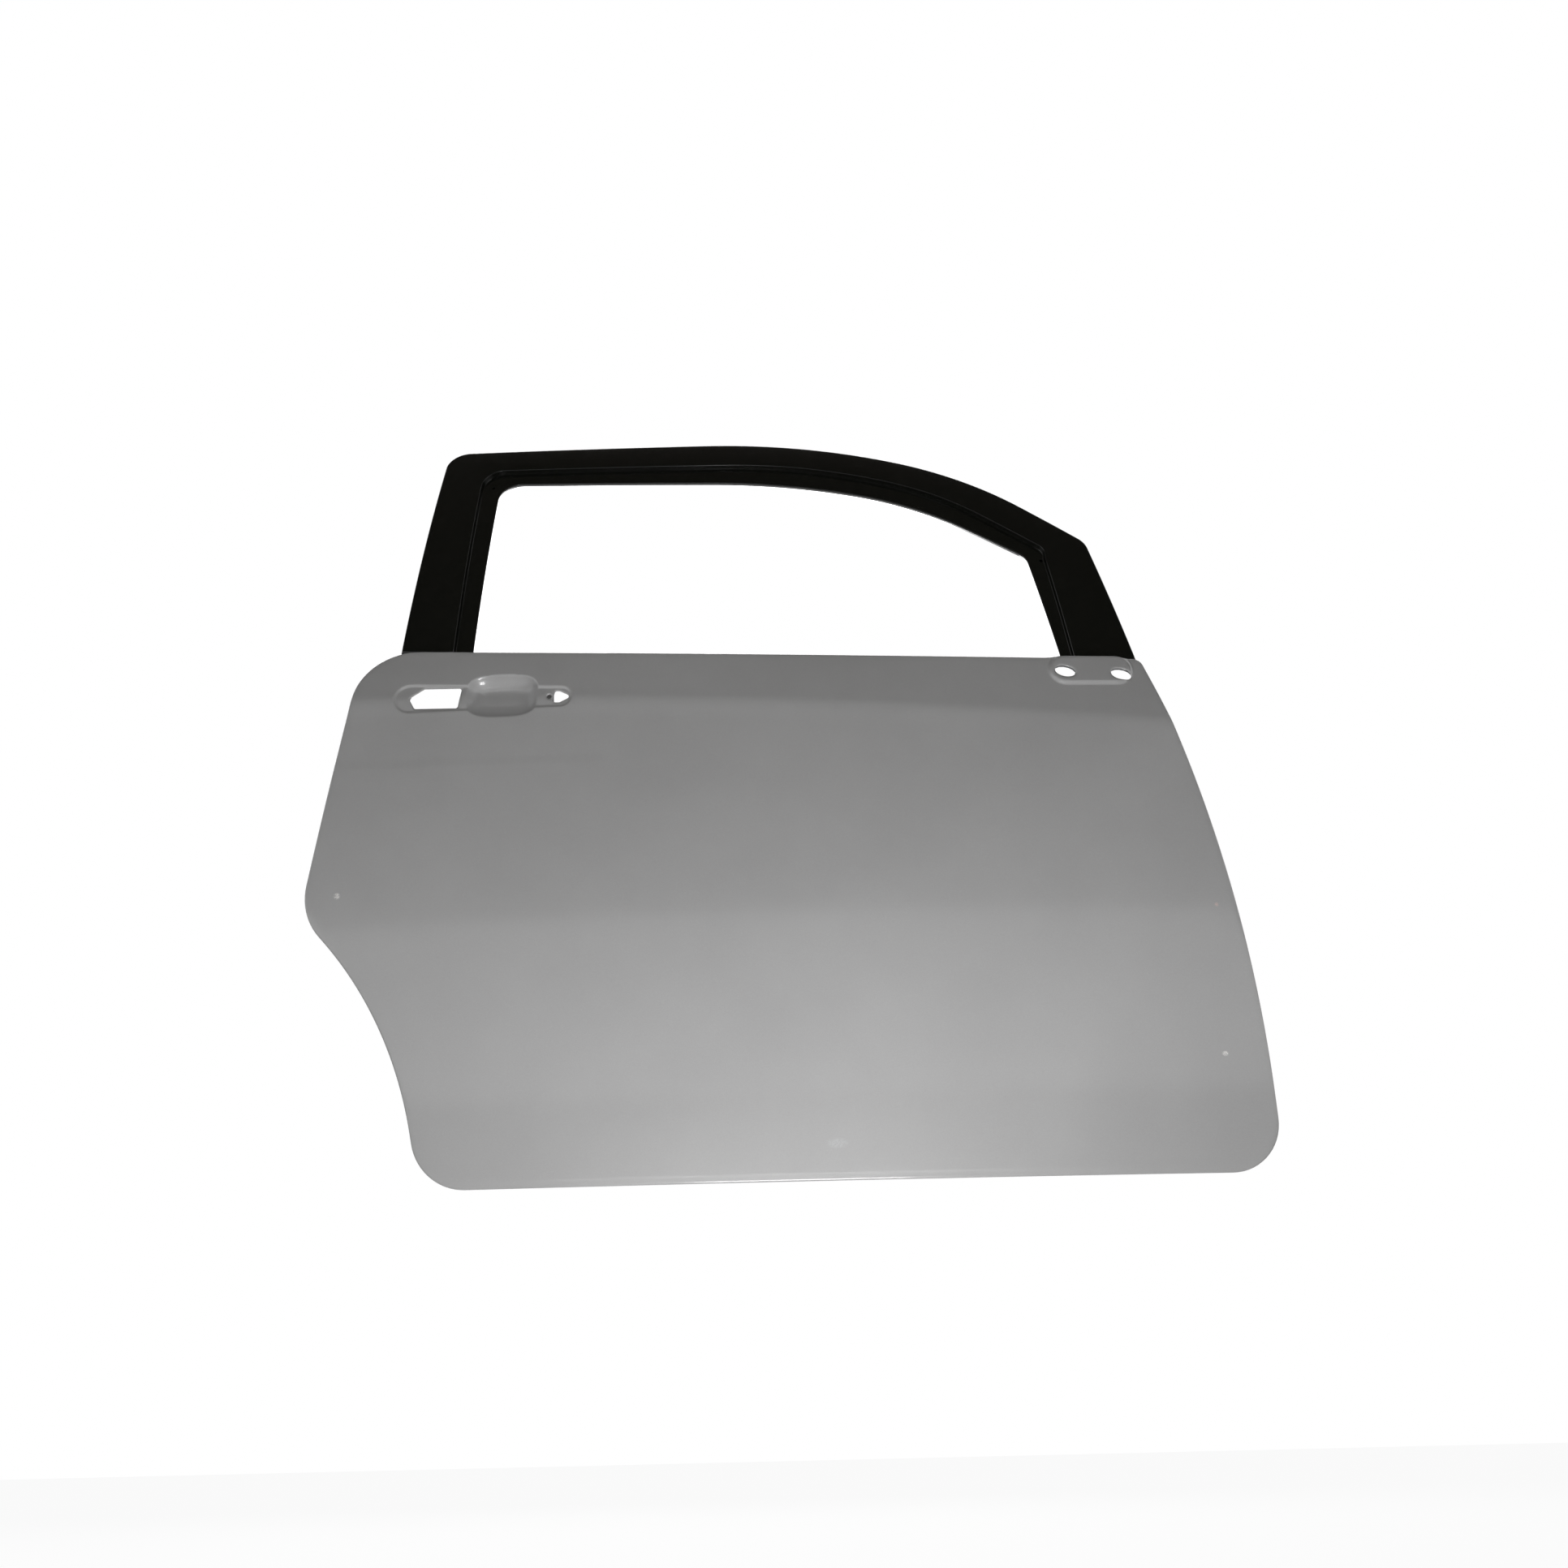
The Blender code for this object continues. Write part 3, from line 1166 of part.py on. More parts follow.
def make_beam_bracket(name, place, ahead):
    """A cranked bracket from the inboard side of the beam's end to the inner panel."""
    x, z = place
    web = x + ahead * BEAM_BRACKET_REACH
    lap = x - ahead * BEAM_BRACKET_LAP
    foot = web + ahead * BEAM_BRACKET_FLANGE
    rails = []
    for level in (z - BEAM_BRACKET_HEIGHT / 2, z, z + BEAM_BRACKET_HEIGHT / 2):
        pan = MAIN_DEPTH - PAN_SHEET - GAP
        rails.append([
            (lap, beam_side(lap) + GAP + RAIL_SHEET, level),
            (web, beam_side(x) + GAP + RAIL_SHEET, level),
            (web, pan, level),
            (foot, pan, level),
        ])
    banded_sheet(name, rails, RAIL_SHEET, PRIMER, (0, 1, 0))


def make_flutter_pad(name, share):
    """A block of mastic between the skin and the beam. Its faces follow both."""
    path = beam_path()
    centre = path[0] + (path[-1] - path[0]) * share
    slope = math.tan(heading(path[0], path[-1]))
    width = 2 * BEAM_RADIUS * math.cos(math.pi / BEAM_FACETS)

    def place(u, v, w):
        x = centre[0] + u
        z = centre[1] + slope * u + v
        low = crown(x, z) + SKIN_SHEET + GAP
        return x, low + w * (beam_side(x) - width - GAP - low), z

    loop = oval(np.array((0.0, 0.0)), FLUTTER_PAD_LENGTH / 2, FLUTTER_PAD_HALF_HEIGHT, facets=20)
    flat_plate(name, loop, [], place, 1.0, MASTIC)


# Reinforcement plates and nuts

def make_shut_plate(name, face, loop, holes):
    start = PAN_SHEET + GAP
    flat_plate(name, loop, holes, place_on(face, SHUT_FACE_DEPTH, start), PLATE_SHEET, PRIMER)


def make_nut(name, face, place):
    start = PAN_SHEET + PLATE_SHEET + 2 * GAP
    hexagon = circle(place, NUT_RADIUS, 6)
    bore = circle(place, NUT_BORE, 10)
    flat_plate(name, hexagon, [bore], place_on(face, SHUT_FACE_DEPTH, start), NUT_HEIGHT, STEEL)


def make_skin_plate(name, loop, holes, depth):
    """A thin plate that follows the inside of the skin."""
    rail = [(p[0], depth(p[0], p[1]), p[1]) for p in loop]
    pressed_sheet(name, [rail], holes, [], GRID_STEP, depth, SKIN_PLATE_SHEET, PRIMER, (0, 1, 0))


def make_handle_plate():
    def depth(x, z):
        return crown(x, z) + SEAT_DEPTH + SKIN_SHEET + GAP + SKIN_PLATE_SHEET

    rear = -LATCH_HOLE_TIP - HANDLE_PLATE_MARGIN
    front = LATCH_HOLE_FRONT + HANDLE_PLATE_MARGIN
    half = LATCH_HOLE_HALF_HEIGHT + HANDLE_PLATE_MARGIN * 0.7
    sides = ((rear, -half), (front, -half), (front, half), (rear, half))
    corners = [(seat_point(forward, up), PLATE_RADIUS) for forward, up in sides]
    loop = rounded_loop(corners, [3] * len(corners), [1] * len(corners))
    middle = np.mean(LATCH_HOLE, axis=0)
    hole = [middle + (point - middle) * (1 + HANDLE_PLATE_CLEARANCE / np.linalg.norm(point - middle))
            for point in LATCH_HOLE]
    make_skin_plate("handle_reinforcement", loop, [hole], depth)


def make_mirror_plate():
    def depth(x, z):
        return crown(x, z) + SKIN_SHEET + GAP + SKIN_PLATE_SHEET

    middle = (MIRROR_HOLE_SPACING / 2 - MIRROR_HOLE_BACK, -MIRROR_HOLE_DROP - MIRROR_PLATE_DROP)
    centre = PAD_REAR + np.array(middle)
    outline = box_loop(MIRROR_PLATE_LENGTH, MIRROR_PLATE_HEIGHT, MIRROR_PLATE_RADIUS, 4)
    loop = [centre + point for point in outline]
    holes = []
    for hole in MIRROR_HOLES:
        middle = np.mean(hole, axis=0)
        holes.append([middle + (point - middle) * MIRROR_PLATE_HOLE_SHARE for point in hole])
    make_skin_plate("mirror_reinforcement", loop, holes, depth)


def make_reinforcements():
    plate = box_loop(HINGE_PLATE_WIDTH, HINGE_PLATE_HEIGHT, PLATE_RADIUS)
    bolts = [circle(place, HINGE_BOLT_RADIUS) for place in bolt_places()]
    for name, face in (("upper", UPPER_HINGE), ("lower", LOWER_HINGE)):
        make_shut_plate(f"hinge_reinforcement_{name}", face, plate, bolts)
        for index, place in enumerate(bolt_places()):
            make_nut(f"hinge_nut_{name}_{index + 1}", face, place)
    check = box_loop(CHECK_PLATE_WIDTH, CHECK_PLATE_HEIGHT, PLATE_RADIUS)
    make_shut_plate("check_reinforcement", CHECK, check, [slot_loop(CHECK_SLOT_LENGTH, CHECK_SLOT_WIDTH)])
    latch = box_loop(LATCH_PLATE_WIDTH, LATCH_PLATE_HEIGHT + 2 * LATCH_SCREW_RADIUS, PLATE_RADIUS)
    holes = [box_loop(LATCH_SLOT_DEPTH, LATCH_SLOT_HEIGHT, PLATE_RADIUS)]
    holes += [circle(place, LATCH_SCREW_RADIUS, 10) for place in latch_screws()]
    make_shut_plate("latch_reinforcement", LATCH, latch, holes)


for old in list(bpy.data.objects):
    bpy.data.objects.remove(old)
make_outer_panel()
make_inner_panel()
make_frame_outer()
make_frame_inner()
make_outer_rail()
make_inner_rail()
make_guide("glass_guide_rear", REAR_GUIDE_SHARE, 1)
make_guide("glass_guide_front", FRONT_GUIDE_SHARE, -1)
make_beam()
make_beam_bracket("beam_bracket_rear", beam_path()[0], -1)
make_beam_bracket("beam_bracket_front", beam_path()[-1], 1)
for number, position in enumerate(FLUTTER_PAD_SHARES):
    make_flutter_pad(f"flutter_pad_{number + 1}", position)
make_reinforcements()
make_handle_plate()
make_mirror_plate()
origin = UPPER_HINGE.frame(SHUT_FACE_DEPTH)[0]
for obj in bpy.data.objects:
    obj.data.transform(Matrix.Translation(-origin))
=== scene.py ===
import json
import math

import bmesh
import bpy
import numpy as np
from mathutils import Matrix, Vector
from mathutils.geometry import delaunay_2d_cdt

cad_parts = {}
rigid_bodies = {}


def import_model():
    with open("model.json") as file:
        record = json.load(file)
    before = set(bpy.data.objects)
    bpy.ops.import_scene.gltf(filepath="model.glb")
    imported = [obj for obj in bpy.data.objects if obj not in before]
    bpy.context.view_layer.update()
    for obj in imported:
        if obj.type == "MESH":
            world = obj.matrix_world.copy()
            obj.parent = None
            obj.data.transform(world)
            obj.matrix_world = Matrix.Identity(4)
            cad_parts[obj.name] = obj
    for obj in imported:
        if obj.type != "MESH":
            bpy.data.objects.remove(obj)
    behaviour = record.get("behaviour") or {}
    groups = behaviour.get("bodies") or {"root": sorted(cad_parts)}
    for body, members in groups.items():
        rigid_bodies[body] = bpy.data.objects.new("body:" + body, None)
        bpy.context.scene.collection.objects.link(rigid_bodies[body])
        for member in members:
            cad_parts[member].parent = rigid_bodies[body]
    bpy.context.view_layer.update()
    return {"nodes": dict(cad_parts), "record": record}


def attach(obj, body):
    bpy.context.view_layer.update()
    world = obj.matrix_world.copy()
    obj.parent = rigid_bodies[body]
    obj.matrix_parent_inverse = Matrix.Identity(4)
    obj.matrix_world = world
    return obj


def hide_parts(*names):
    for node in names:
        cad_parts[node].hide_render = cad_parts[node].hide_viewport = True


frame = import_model()
print("door shell frame loaded")

# outlines are drawn in metres from the rearmost point of the panel, its bottom edge and its widest line
doorOrigin = Vector((1.01464, 0.06, 0.497))

skin = {
    "length": 1.109, "height": 0.6565, "fullHeight": 1.0065, "sheet": 0.0008,
    "outline": (  # share of the length, share of the height, radius
        (0.0483, 1.0, 0.073), (0.0, 0.4806, 0.075), (0.1029, 0.2833, 0.45), (0.1325, 0.0, 0.062),
        (1.0, 0.0, 0.055), (0.9807, 0.5286, 2.05), (0.9012, 0.9452, 0.012), (0.4731, 0.9637, 25.0)),
    "widest": 0.4573, "planCentre": 0.507, "lowerCrown": 1.9, "upperCrown": 2.7, "planCrown": 9.1,
    "crease": (0.8946, 0.8826, 0.7980), "creaseRound": 0.0045, "shoulderSlope": 0.17,
    "creaseSwell": 0.0008, "swellReach": 0.020, "swellCentreShare": 0.35, "swellFade": (1.15, 0.15),
    "creaseEndShares": (0.06, 0.915), "creasePoints": 180,
    "creaseGap": (0.085, 0.32),   # no crease marks between these, where the handle's finer mesh lies
    "hemDepth": 0.0033, "hemReturn": 0.011, "hemInset": 0.0022,
    "nickAt": 0.4766, "nickDepth": 0.0012, "nickHalfWidth": 0.0035, "nickReach": 0.004,
    "edgeStep": 0.006, "gridStep": 0.0055,
    "fineStep": 0.0016,
}


def unit(vector):
    return vector / np.linalg.norm(vector)


def heading(start, end):
    return math.atan2(end[1] - start[1], end[0] - start[0])


def leftNormal(angle):
    return np.array((-math.sin(angle), math.cos(angle)))


def cornerArc(before, corner, after, radius, facets):
    back = unit(before - corner)
    ahead = unit(after - corner)
    half = math.acos(max(-1.0, min(1.0, float(back @ ahead)))) / 2
    longest = min(np.linalg.norm(before - corner), np.linalg.norm(after - corner))
    radius = min(max(radius, 0.0003), longest * math.tan(half))
    centre = corner + unit(back + ahead) * radius / math.sin(half)
    start = corner + back * radius / math.tan(half) - centre
    end = corner + ahead * radius / math.tan(half) - centre
    first = math.atan2(start[1], start[0])
    turn = (math.atan2(end[1], end[0]) - first + math.pi) % (2 * math.pi) - math.pi
    count = facets or max(4, int(abs(turn) * radius / skin["edgeStep"]) + 1)
    angles = [first + turn * step / count for step in range(count + 1)]
    return [centre + radius * np.array((math.cos(a), math.sin(a))) for a in angles]


def roundedPath(corners, closed, facets=None, runs=None):
    # points round an outline with rounded corners, each with the normal on its left
    count = len(corners)
    arcs = []
    for index, (point, radius) in enumerate(corners):
        if not closed and index in (0, count - 1):
            start, end = corners[:2] if index == 0 else corners[-2:]
            arcs.append([(point, leftNormal(heading(start[0], end[0])))])
            continue
        before = corners[index - 1][0]
        after = corners[(index + 1) % count][0]
        first = heading(before, point)
        turn = (heading(point, after) - first + math.pi) % (2 * math.pi) - math.pi
        arc = cornerArc(before, point, after, radius, facets[index] if facets else None)
        arcs.append([(p, leftNormal(first + turn * step / (len(arc) - 1))) for step, p in enumerate(arc)])
    path = []
    for index, arc in enumerate(arcs):
        path += arc
        if closed or index + 1 < count:
            end = arc[-1][0]
            gap = arcs[(index + 1) % count][0][0] - end
            pieces = runs[index] if runs else max(1, round(np.linalg.norm(gap) / skin["edgeStep"]))
            path += [(end + gap * step / pieces, arc[-1][1]) for step in range(1, pieces)]
    return path


def roundedLoop(corners, radius):
    count = len(corners)
    rounded = roundedPath([(np.array(c), radius) for c in corners], True, [6] * count, [9] * count)
    return [point for point, _ in rounded]


def taperedSlot(rear, front, rearRadius, frontRadius, facets=14):
    lean = math.asin((rearRadius - frontRadius) / np.linalg.norm(front - rear))
    ahead = heading(rear, front)
    loop = []
    for centre, radius, middle, half in ((front, frontRadius, ahead, math.pi / 2 - lean),
                                         (rear, rearRadius, ahead + math.pi, math.pi / 2 + lean)):
        for share in np.linspace(-1.0, 1.0, 2 * facets + 1):
            angle = middle + half * share
            loop.append(centre + radius * np.array((math.cos(angle), math.sin(angle))))
    return loop


def superOval(centre, halfLength, halfHeight, facets=72, squareness=3.1, tilt=0.0):
    loop = []
    for index in range(facets):
        angle = 2 * math.pi * index / facets
        c, s = math.cos(angle), math.sin(angle)
        x = math.copysign(abs(c) ** (2 / squareness), c) * halfLength
        z = math.copysign(abs(s) ** (2 / squareness), s) * halfHeight
        turned = np.array((x * math.cos(tilt) - z * math.sin(tilt), x * math.sin(tilt) + z * math.cos(tilt)))
        loop.append(centre + turned)
    return loop


def distanceInside(loop, points):
    # distance from each point to a closed outline, positive inside it
    corners = np.array(loop)
    run = np.roll(corners, -1, axis=0) - corners
    points = np.atleast_2d(points)
    nearest = np.full(len(points), 1e9)
    inside = np.zeros(len(points), bool)
    for corner, side in zip(corners, run):
        away = points - corner
        share = np.clip((away @ side) / (side @ side), 0, 1)
        nearest = np.minimum(nearest, np.linalg.norm(away - share[:, None] * side, axis=1))
        crosses = (corner[1] > points[:, 1]) != (corner[1] + side[1] > points[:, 1])
        if side[1]:
            level = corner[0] + (points[:, 1] - corner[1]) / side[1] * side[0]
            inside ^= crosses & (points[:, 0] < level)
    return np.where(inside, nearest, -nearest)


def smooth(share):
    share = np.clip(share, 0.0, 1.0)
    return share * share * (3 - 2 * share)


# the skin's surface: crowned, with a crease, a handle seat with its finger cup, and the mirror pad

panelSize = np.array((skin["length"], skin["height"]))
panelCorners = [(np.array((x, z)) * panelSize, radius) for x, z, radius in skin["outline"]]
panelPath = roundedPath(panelCorners, True)
beltRear, beltFront = panelCorners[0][0], panelCorners[6][0]
beltMiddle, beltRadius = panelCorners[7]
beltArc = cornerArc(beltFront, beltMiddle, beltRear, beltRadius, 20)
beltLine = np.array([beltRear] + beltArc[::-1] + [beltFront])


def beltHeight(x):
    return np.interp(x, beltLine[:, 0], beltLine[:, 1])


def creaseHeight(x):
    share = x / skin["length"]
    rear, middle, front = skin["crease"]
    return skin["height"] * ((1 - share) ** 2 * rear + 2 * share * (1 - share) * middle + share ** 2 * front)


def plainDepth(x, z):
    widest = skin["height"] * skin["widest"]
    radius = np.where(z < widest, skin["lowerCrown"], skin["upperCrown"])
    across = x - skin["length"] * skin["planCentre"]
    depth = (z - widest) ** 2 / (2 * radius) + across ** 2 / (2 * skin["planCrown"])
    above = z - creaseHeight(x)
    bend = skin["creaseRound"]
    rounded = (above + bend) ** 2 / (4 * bend)
    shoulder = np.where(above > bend, above, np.where(above > -bend, rounded, 0.0))
    return depth + skin["shoulderSlope"] * shoulder


handle = {
    "rear": 0.1143, "height": 0.5845, "rearRadius": 0.021, "frontRadius": 0.0155, "length": 0.182,
    "fall": 0.0043, "depth": 0.0025, "wall": 0.0045,
    "cupForward": 0.1115, "cupHalfLength": 0.0447, "cupHalfHeight": 0.0293, "cupDepth": 0.018,
    "cupTopWall": 0.0205, "cupBottomWall": 0.0235,
    "latchHole": ((-0.0015, 0.0), (0.0060, -0.0137), (0.0582, -0.0137), (0.0620, 0.0137), (0.0165, 0.0137)),
    "lockHole": ((0.1755, 0.0078), (0.1727, -0.0078), (0.1811, -0.0078), (0.1952, 0.0), (0.1811, 0.0078)),
    "screwHole": (0.1685, 0.0), "screwRadius": 0.003, "holeRound": 0.0030,
    "rimTurn": 0.0010, "rimReach": 0.0030,
    "rimZone": 0.05, "zone": (0.35, 0.5, 0.65), "meet": 0.0016, "patchRadius": 0.036,
}
seatRear = np.array((handle["rear"], handle["height"]))


def seatPoint(forward, up):
    return seatRear + np.array((forward, up - handle["fall"] / handle["length"] * forward))


seatRim = taperedSlot(seatRear, seatRear + np.array((handle["length"], -handle["fall"])),
                      handle["rearRadius"], handle["frontRadius"])
cupCentre = seatRear + np.array((handle["cupForward"], 0.0))
cupRim = superOval(cupCentre, handle["cupHalfLength"], handle["cupHalfHeight"])
latchHole = roundedLoop([seatPoint(*p) for p in handle["latchHole"]], handle["holeRound"])
lockHole = roundedLoop([seatPoint(*p) for p in handle["lockHole"]], handle["holeRound"])
screwHole = superOval(seatPoint(*handle["screwHole"]), handle["screwRadius"], handle["screwRadius"], 16, 2.0)

mirror = {
    "rear": 0.9068, "height": 0.6048, "length": 0.0605, "radius": 0.0225, "rise": 0.0035, "wall": 0.0055,
    "lift": 0.0032, "holeHalfLength": 0.0125, "holeHalfHeight": 0.0075, "holeTilt": math.radians(-14),
    "holes": ((0.9055, 0.6015), (0.9733, 0.5970)), "zone": (0.85, 0.55), "patchRadius": 0.027,
}
mirrorRear = np.array((mirror["rear"], mirror["height"]))
mirrorFront = mirrorRear + np.array((mirror["length"], 0.0))
mirrorRim = taperedSlot(mirrorRear, mirrorFront, mirror["radius"], mirror["radius"])
mirrorHoles = [superOval(np.array(place), mirror["holeHalfLength"], mirror["holeHalfHeight"], 36, 2.0,
                         mirror["holeTilt"]) for place in mirror["holes"]]
skinHoles = [latchHole, lockHole, screwHole] + mirrorHoles


def skinDepth(points):
    points = np.atleast_2d(points)
    x, z = points[:, 0], points[:, 1]
    depth = plainDepth(x, z)
    below = creaseHeight(x) - z
    fadeStart, fadeEnd = skin["swellFade"]
    fade = np.clip(fadeStart - x / skin["length"], fadeEnd, 1.0)
    swellCentre = skin["swellReach"] * skin["swellCentreShare"]
    depth -= skin["creaseSwell"] * fade * smooth(1 - np.abs(below - swellCentre) / skin["swellReach"])
    zoneEnd, zoneLow, zoneHigh = handle["zone"]
    near = (x < zoneEnd) & (z > zoneLow) & (z < zoneHigh)
    if near.any():
        close = points[near]
        seat = handle["depth"] * smooth(distanceInside(seatRim, close) / handle["wall"])
        high = np.clip((close[:, 1] - cupCentre[1]) / handle["cupHalfHeight"], -1, 1) * 0.5 + 0.5
        wall = handle["cupBottomWall"] + (handle["cupTopWall"] - handle["cupBottomWall"]) * high
        share = np.clip(distanceInside(cupRim, close) / wall, 0, 1)
        cup = handle["cupDepth"] * (1 - (1 - share) ** 2)
        blend = handle["meet"]   # softens the line where cup and seat meet
        both = np.maximum(seat, cup)
        meet = np.clip(blend - np.abs(seat - cup), 0, blend)
        depth[near] += both + meet * meet / (4 * blend)
    pad = (x > mirror["zone"][0]) & (z > mirror["zone"][1])
    if pad.any():
        depth[pad] -= mirror["rise"] * smooth(distanceInside(mirrorRim, points[pad]) / mirror["wall"])
    for hole in skinHoles:
        middle = np.mean(hole, axis=0)
        close = np.linalg.norm(points - middle, axis=1) < handle["rimZone"]
        if close.any():
            away = -distanceInside(hole, points[close])
            depth[close] += handle["rimTurn"] * (1 - np.clip(away / handle["rimReach"], 0, 1)) ** 2
    return depth


def beltLift(x, z):
    middle = mirror["rear"] + mirror["length"] / 2
    reach = mirror["length"] / 2 + mirror["radius"]
    across = smooth((reach - np.abs(x - middle)) / mirror["radius"])
    up = smooth(1 + (z - beltHeight(x)) / mirror["radius"])
    nick = np.clip(1 - np.abs(x - skin["nickAt"]) / skin["nickHalfWidth"], 0, 1)
    edge = smooth(1 + (z - beltHeight(x)) / skin["nickReach"])
    return mirror["lift"] * across * up - skin["nickDepth"] * smooth(nick) * edge


# meshes

weldDistance = 0.000003


def newPiece(name, points, faces, facing, sharp):
    mesh = bpy.data.meshes.new(name)
    work = bmesh.new()
    corners = [work.verts.new(Vector(p) - doorOrigin) for p in points]
    for face in faces:
        work.faces.new([corners[index] for index in face])
    bmesh.ops.remove_doubles(work, verts=work.verts, dist=weldDistance)
    bmesh.ops.recalc_face_normals(work, faces=work.faces)
    looks = sum((face.normal * face.calc_area() for face in work.faces), Vector())
    if looks.dot(Vector(facing)) < 0:
        bmesh.ops.reverse_faces(work, faces=work.faces)
    work.to_mesh(mesh)
    work.free()
    mesh.shade_smooth()
    mesh.set_sharp_from_angle(angle=math.radians(sharp))
    piece = bpy.data.objects.new(name, mesh)
    bpy.context.scene.collection.objects.link(piece)
    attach(piece, "root")
    return piece


def thicken(piece, sheet):
    solid = piece.modifiers.new("sheet", "SOLIDIFY")
    solid.thickness = sheet
    solid.offset = -1
    solid.use_even_offset = True


def bridge(rails, closed):
    count = len(rails[0])
    faces = []
    for rail in range(len(rails) - 1):
        for index in range(count if closed else count - 1):
            after = (index + 1) % count
            faces.append((rail * count + index, rail * count + after,
                          (rail + 1) * count + after, (rail + 1) * count + index))
    return faces


def hexGrid(low, high, step):
    rows = np.arange(low[1] + step / 2, high[1], step * 0.866)
    return np.array([(x + (step / 2 if row % 2 else 0.0), z) for row, z in enumerate(rows)
                     for x in np.arange(low[0] + step / 2, high[0], step)])


def fillInside(rim, holes, marks, step, patches):
    # triangles inside a rim and outside its holes, finer inside the patches
    points = []
    edges = []
    for line, closed in [(rim, True)] + [(hole, True) for hole in holes] + marks:
        first = len(points)
        points += [np.array((p[0], p[1])) for p in line]
        links = len(line) if closed else len(line) - 1
        edges += [(first + i, first + (i + 1) % len(line)) for i in range(links)]
    drawn = np.array(points)
    grid = hexGrid(drawn.min(axis=0), drawn.max(axis=0), step)
    spacing = np.full(len(grid), step)
    for patch, patchStep in patches:
        outside = distanceInside(patch, grid) < 0
        fine = hexGrid(np.min(patch, axis=0), np.max(patch, axis=0), patchStep)
        fine = fine[distanceInside(patch, fine) > 0]
        spacing = np.concatenate((spacing[outside], np.full(len(fine), patchStep)))
        grid = np.concatenate((grid[outside], fine))
    keep = distanceInside(rim, grid) > spacing * 0.55
    for line, closed in marks:
        keep &= (np.abs(distanceInside(line, grid)) if closed else nearLine(line, grid)) > spacing * 0.45
    for hole in holes:
        keep &= distanceInside(hole, grid) < -spacing * 0.45
    everything = [Vector(p) for p in points] + [Vector(p) for p in grid[keep]]
    coords, _, faces, origins, _, _ = delaunay_2d_cdt(everything, edges, [], 0, 1e-7)
    middles = np.array([np.mean([coords[i] for i in face], axis=0) for face in faces])
    good = distanceInside(rim, middles) > 1e-6
    for hole in holes:
        good &= distanceInside(hole, middles) < -1e-6
    place = {source: index for index, sources in enumerate(origins) for source in sources}
    return coords, [list(f) for f, ok in zip(faces, good) if ok], [place[i] for i in range(len(rim))]


def nearLine(line, points):
    nearest = np.full(len(points), 1e9)
    for start, end in zip(line, line[1:]):
        start = np.array(start)
        side = np.array(end) - start
        away = points - start
        share = np.clip((away @ side) / (side @ side), 0, 1)
        nearest = np.minimum(nearest, np.linalg.norm(away - share[:, None] * side, axis=1))
    return nearest


def makeSkin():
    depth, inset = skin["hemDepth"], skin["hemInset"]
    profile = [(skin["hemReturn"], depth)]
    for share in np.linspace(-0.5, 0.5, 8):
        angle = math.pi * share
        profile.append((inset * (1 - math.cos(angle)), depth / 2 - depth / 2 * math.sin(angle)))
    rails = []
    for offset, inboard in profile:
        flat = np.array([p + n * offset for p, n in panelPath])
        flat[:, 1] += beltLift(flat[:, 0], flat[:, 1])
        lifted = skinDepth(flat) + inboard
        rails.append([(p[0], y, p[1]) for p, y in zip(flat, lifted)])
    creaseEnds = [skin["length"] * share for share in skin["creaseEndShares"]]
    crease = [(x, creaseHeight(x)) for x in np.linspace(*creaseEnds, skin["creasePoints"])]
    bend = skin["creaseRound"]
    gapStart, gapEnd = skin["creaseGap"]
    outside = [(x, z) for x, z in crease if not gapStart < x < gapEnd]
    marks = []
    for offset in (-bend, 0.0, bend):
        for low, high in ((0.0, gapStart), (gapEnd, skin["length"])):
            marks.append(([(x, z + offset) for x, z in outside if low <= x < high], False))
    patches = []
    for rear, piece in ((seatRear, handle), (mirrorRear, mirror)):
        front = rear + np.array((piece["length"], 0.0))
        radius = piece["patchRadius"]
        patches.append((taperedSlot(rear, front, radius, radius), skin["fineStep"]))
    rim = [(p[0], p[2]) for p in rails[-1]]
    coords, filled, order = fillInside(rim, skinHoles, marks, skin["gridStep"], patches)
    points = [p for rail in rails for p in rail]
    faces = bridge(rails, True)
    first = len(points) - len(rails[-1])
    where = {index: first + position for position, index in enumerate(order)}
    depths = skinDepth(np.array(coords))
    for face in filled:
        for index in face:
            if index not in where:
                where[index] = len(points)
                points.append((coords[index][0], depths[index], coords[index][1]))
        faces.append([where[index] for index in face])
    piece = newPiece("outer_skin", points, faces, (0, -1, 0), 50)
    thicken(piece, skin["sheet"])
    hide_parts("outer_panel")
    return piece


outerSkin = makeSkin()
print("outer skin pressed:", len(outerSkin.data.polygons), "faces")


# the window frame's outer pressing

windowFrame = {
    "corners": (  # outer outline, opening, radius outside, radius inside, facets, runs, where the step lies
        ((0.0858, 0.6472), (0.1650, 0.6431), 0.0, 0.0, 1, 28, 0.26),
        ((0.1086, 0.9972), (0.1756, 0.9370), 0.031, 0.030, 20, 14, 0.33),
        ((0.5359, 1.0), (0.5147, 0.9254), 0.78, 0.82, 18, 6, 0.44),
        ((0.7280, 0.9303), (0.6655, 0.8826), 0.49, 0.43, 16, 8, 0.42),
        ((0.8621, 0.8066), (0.7921, 0.7860), 0.030, 0.026, 14, 16, 0.32),
        ((0.8993, 0.6136), (0.8180, 0.6163), 0.0, 0.0, 1, 1, 0.16)),
    "setback": 0.006, "lean": 0.25, "glassRadius": 1.3, "rebate": 0.009, "round": 0.0018,
    "outerReturn": 0.013, "lip": 0.016, "sheet": 0.001,
    "cornerHoles": ((0.1668, 0.9300), (0.8090, 0.7790)), "holeRadius": 0.002, "drillDepth": 0.012,
}


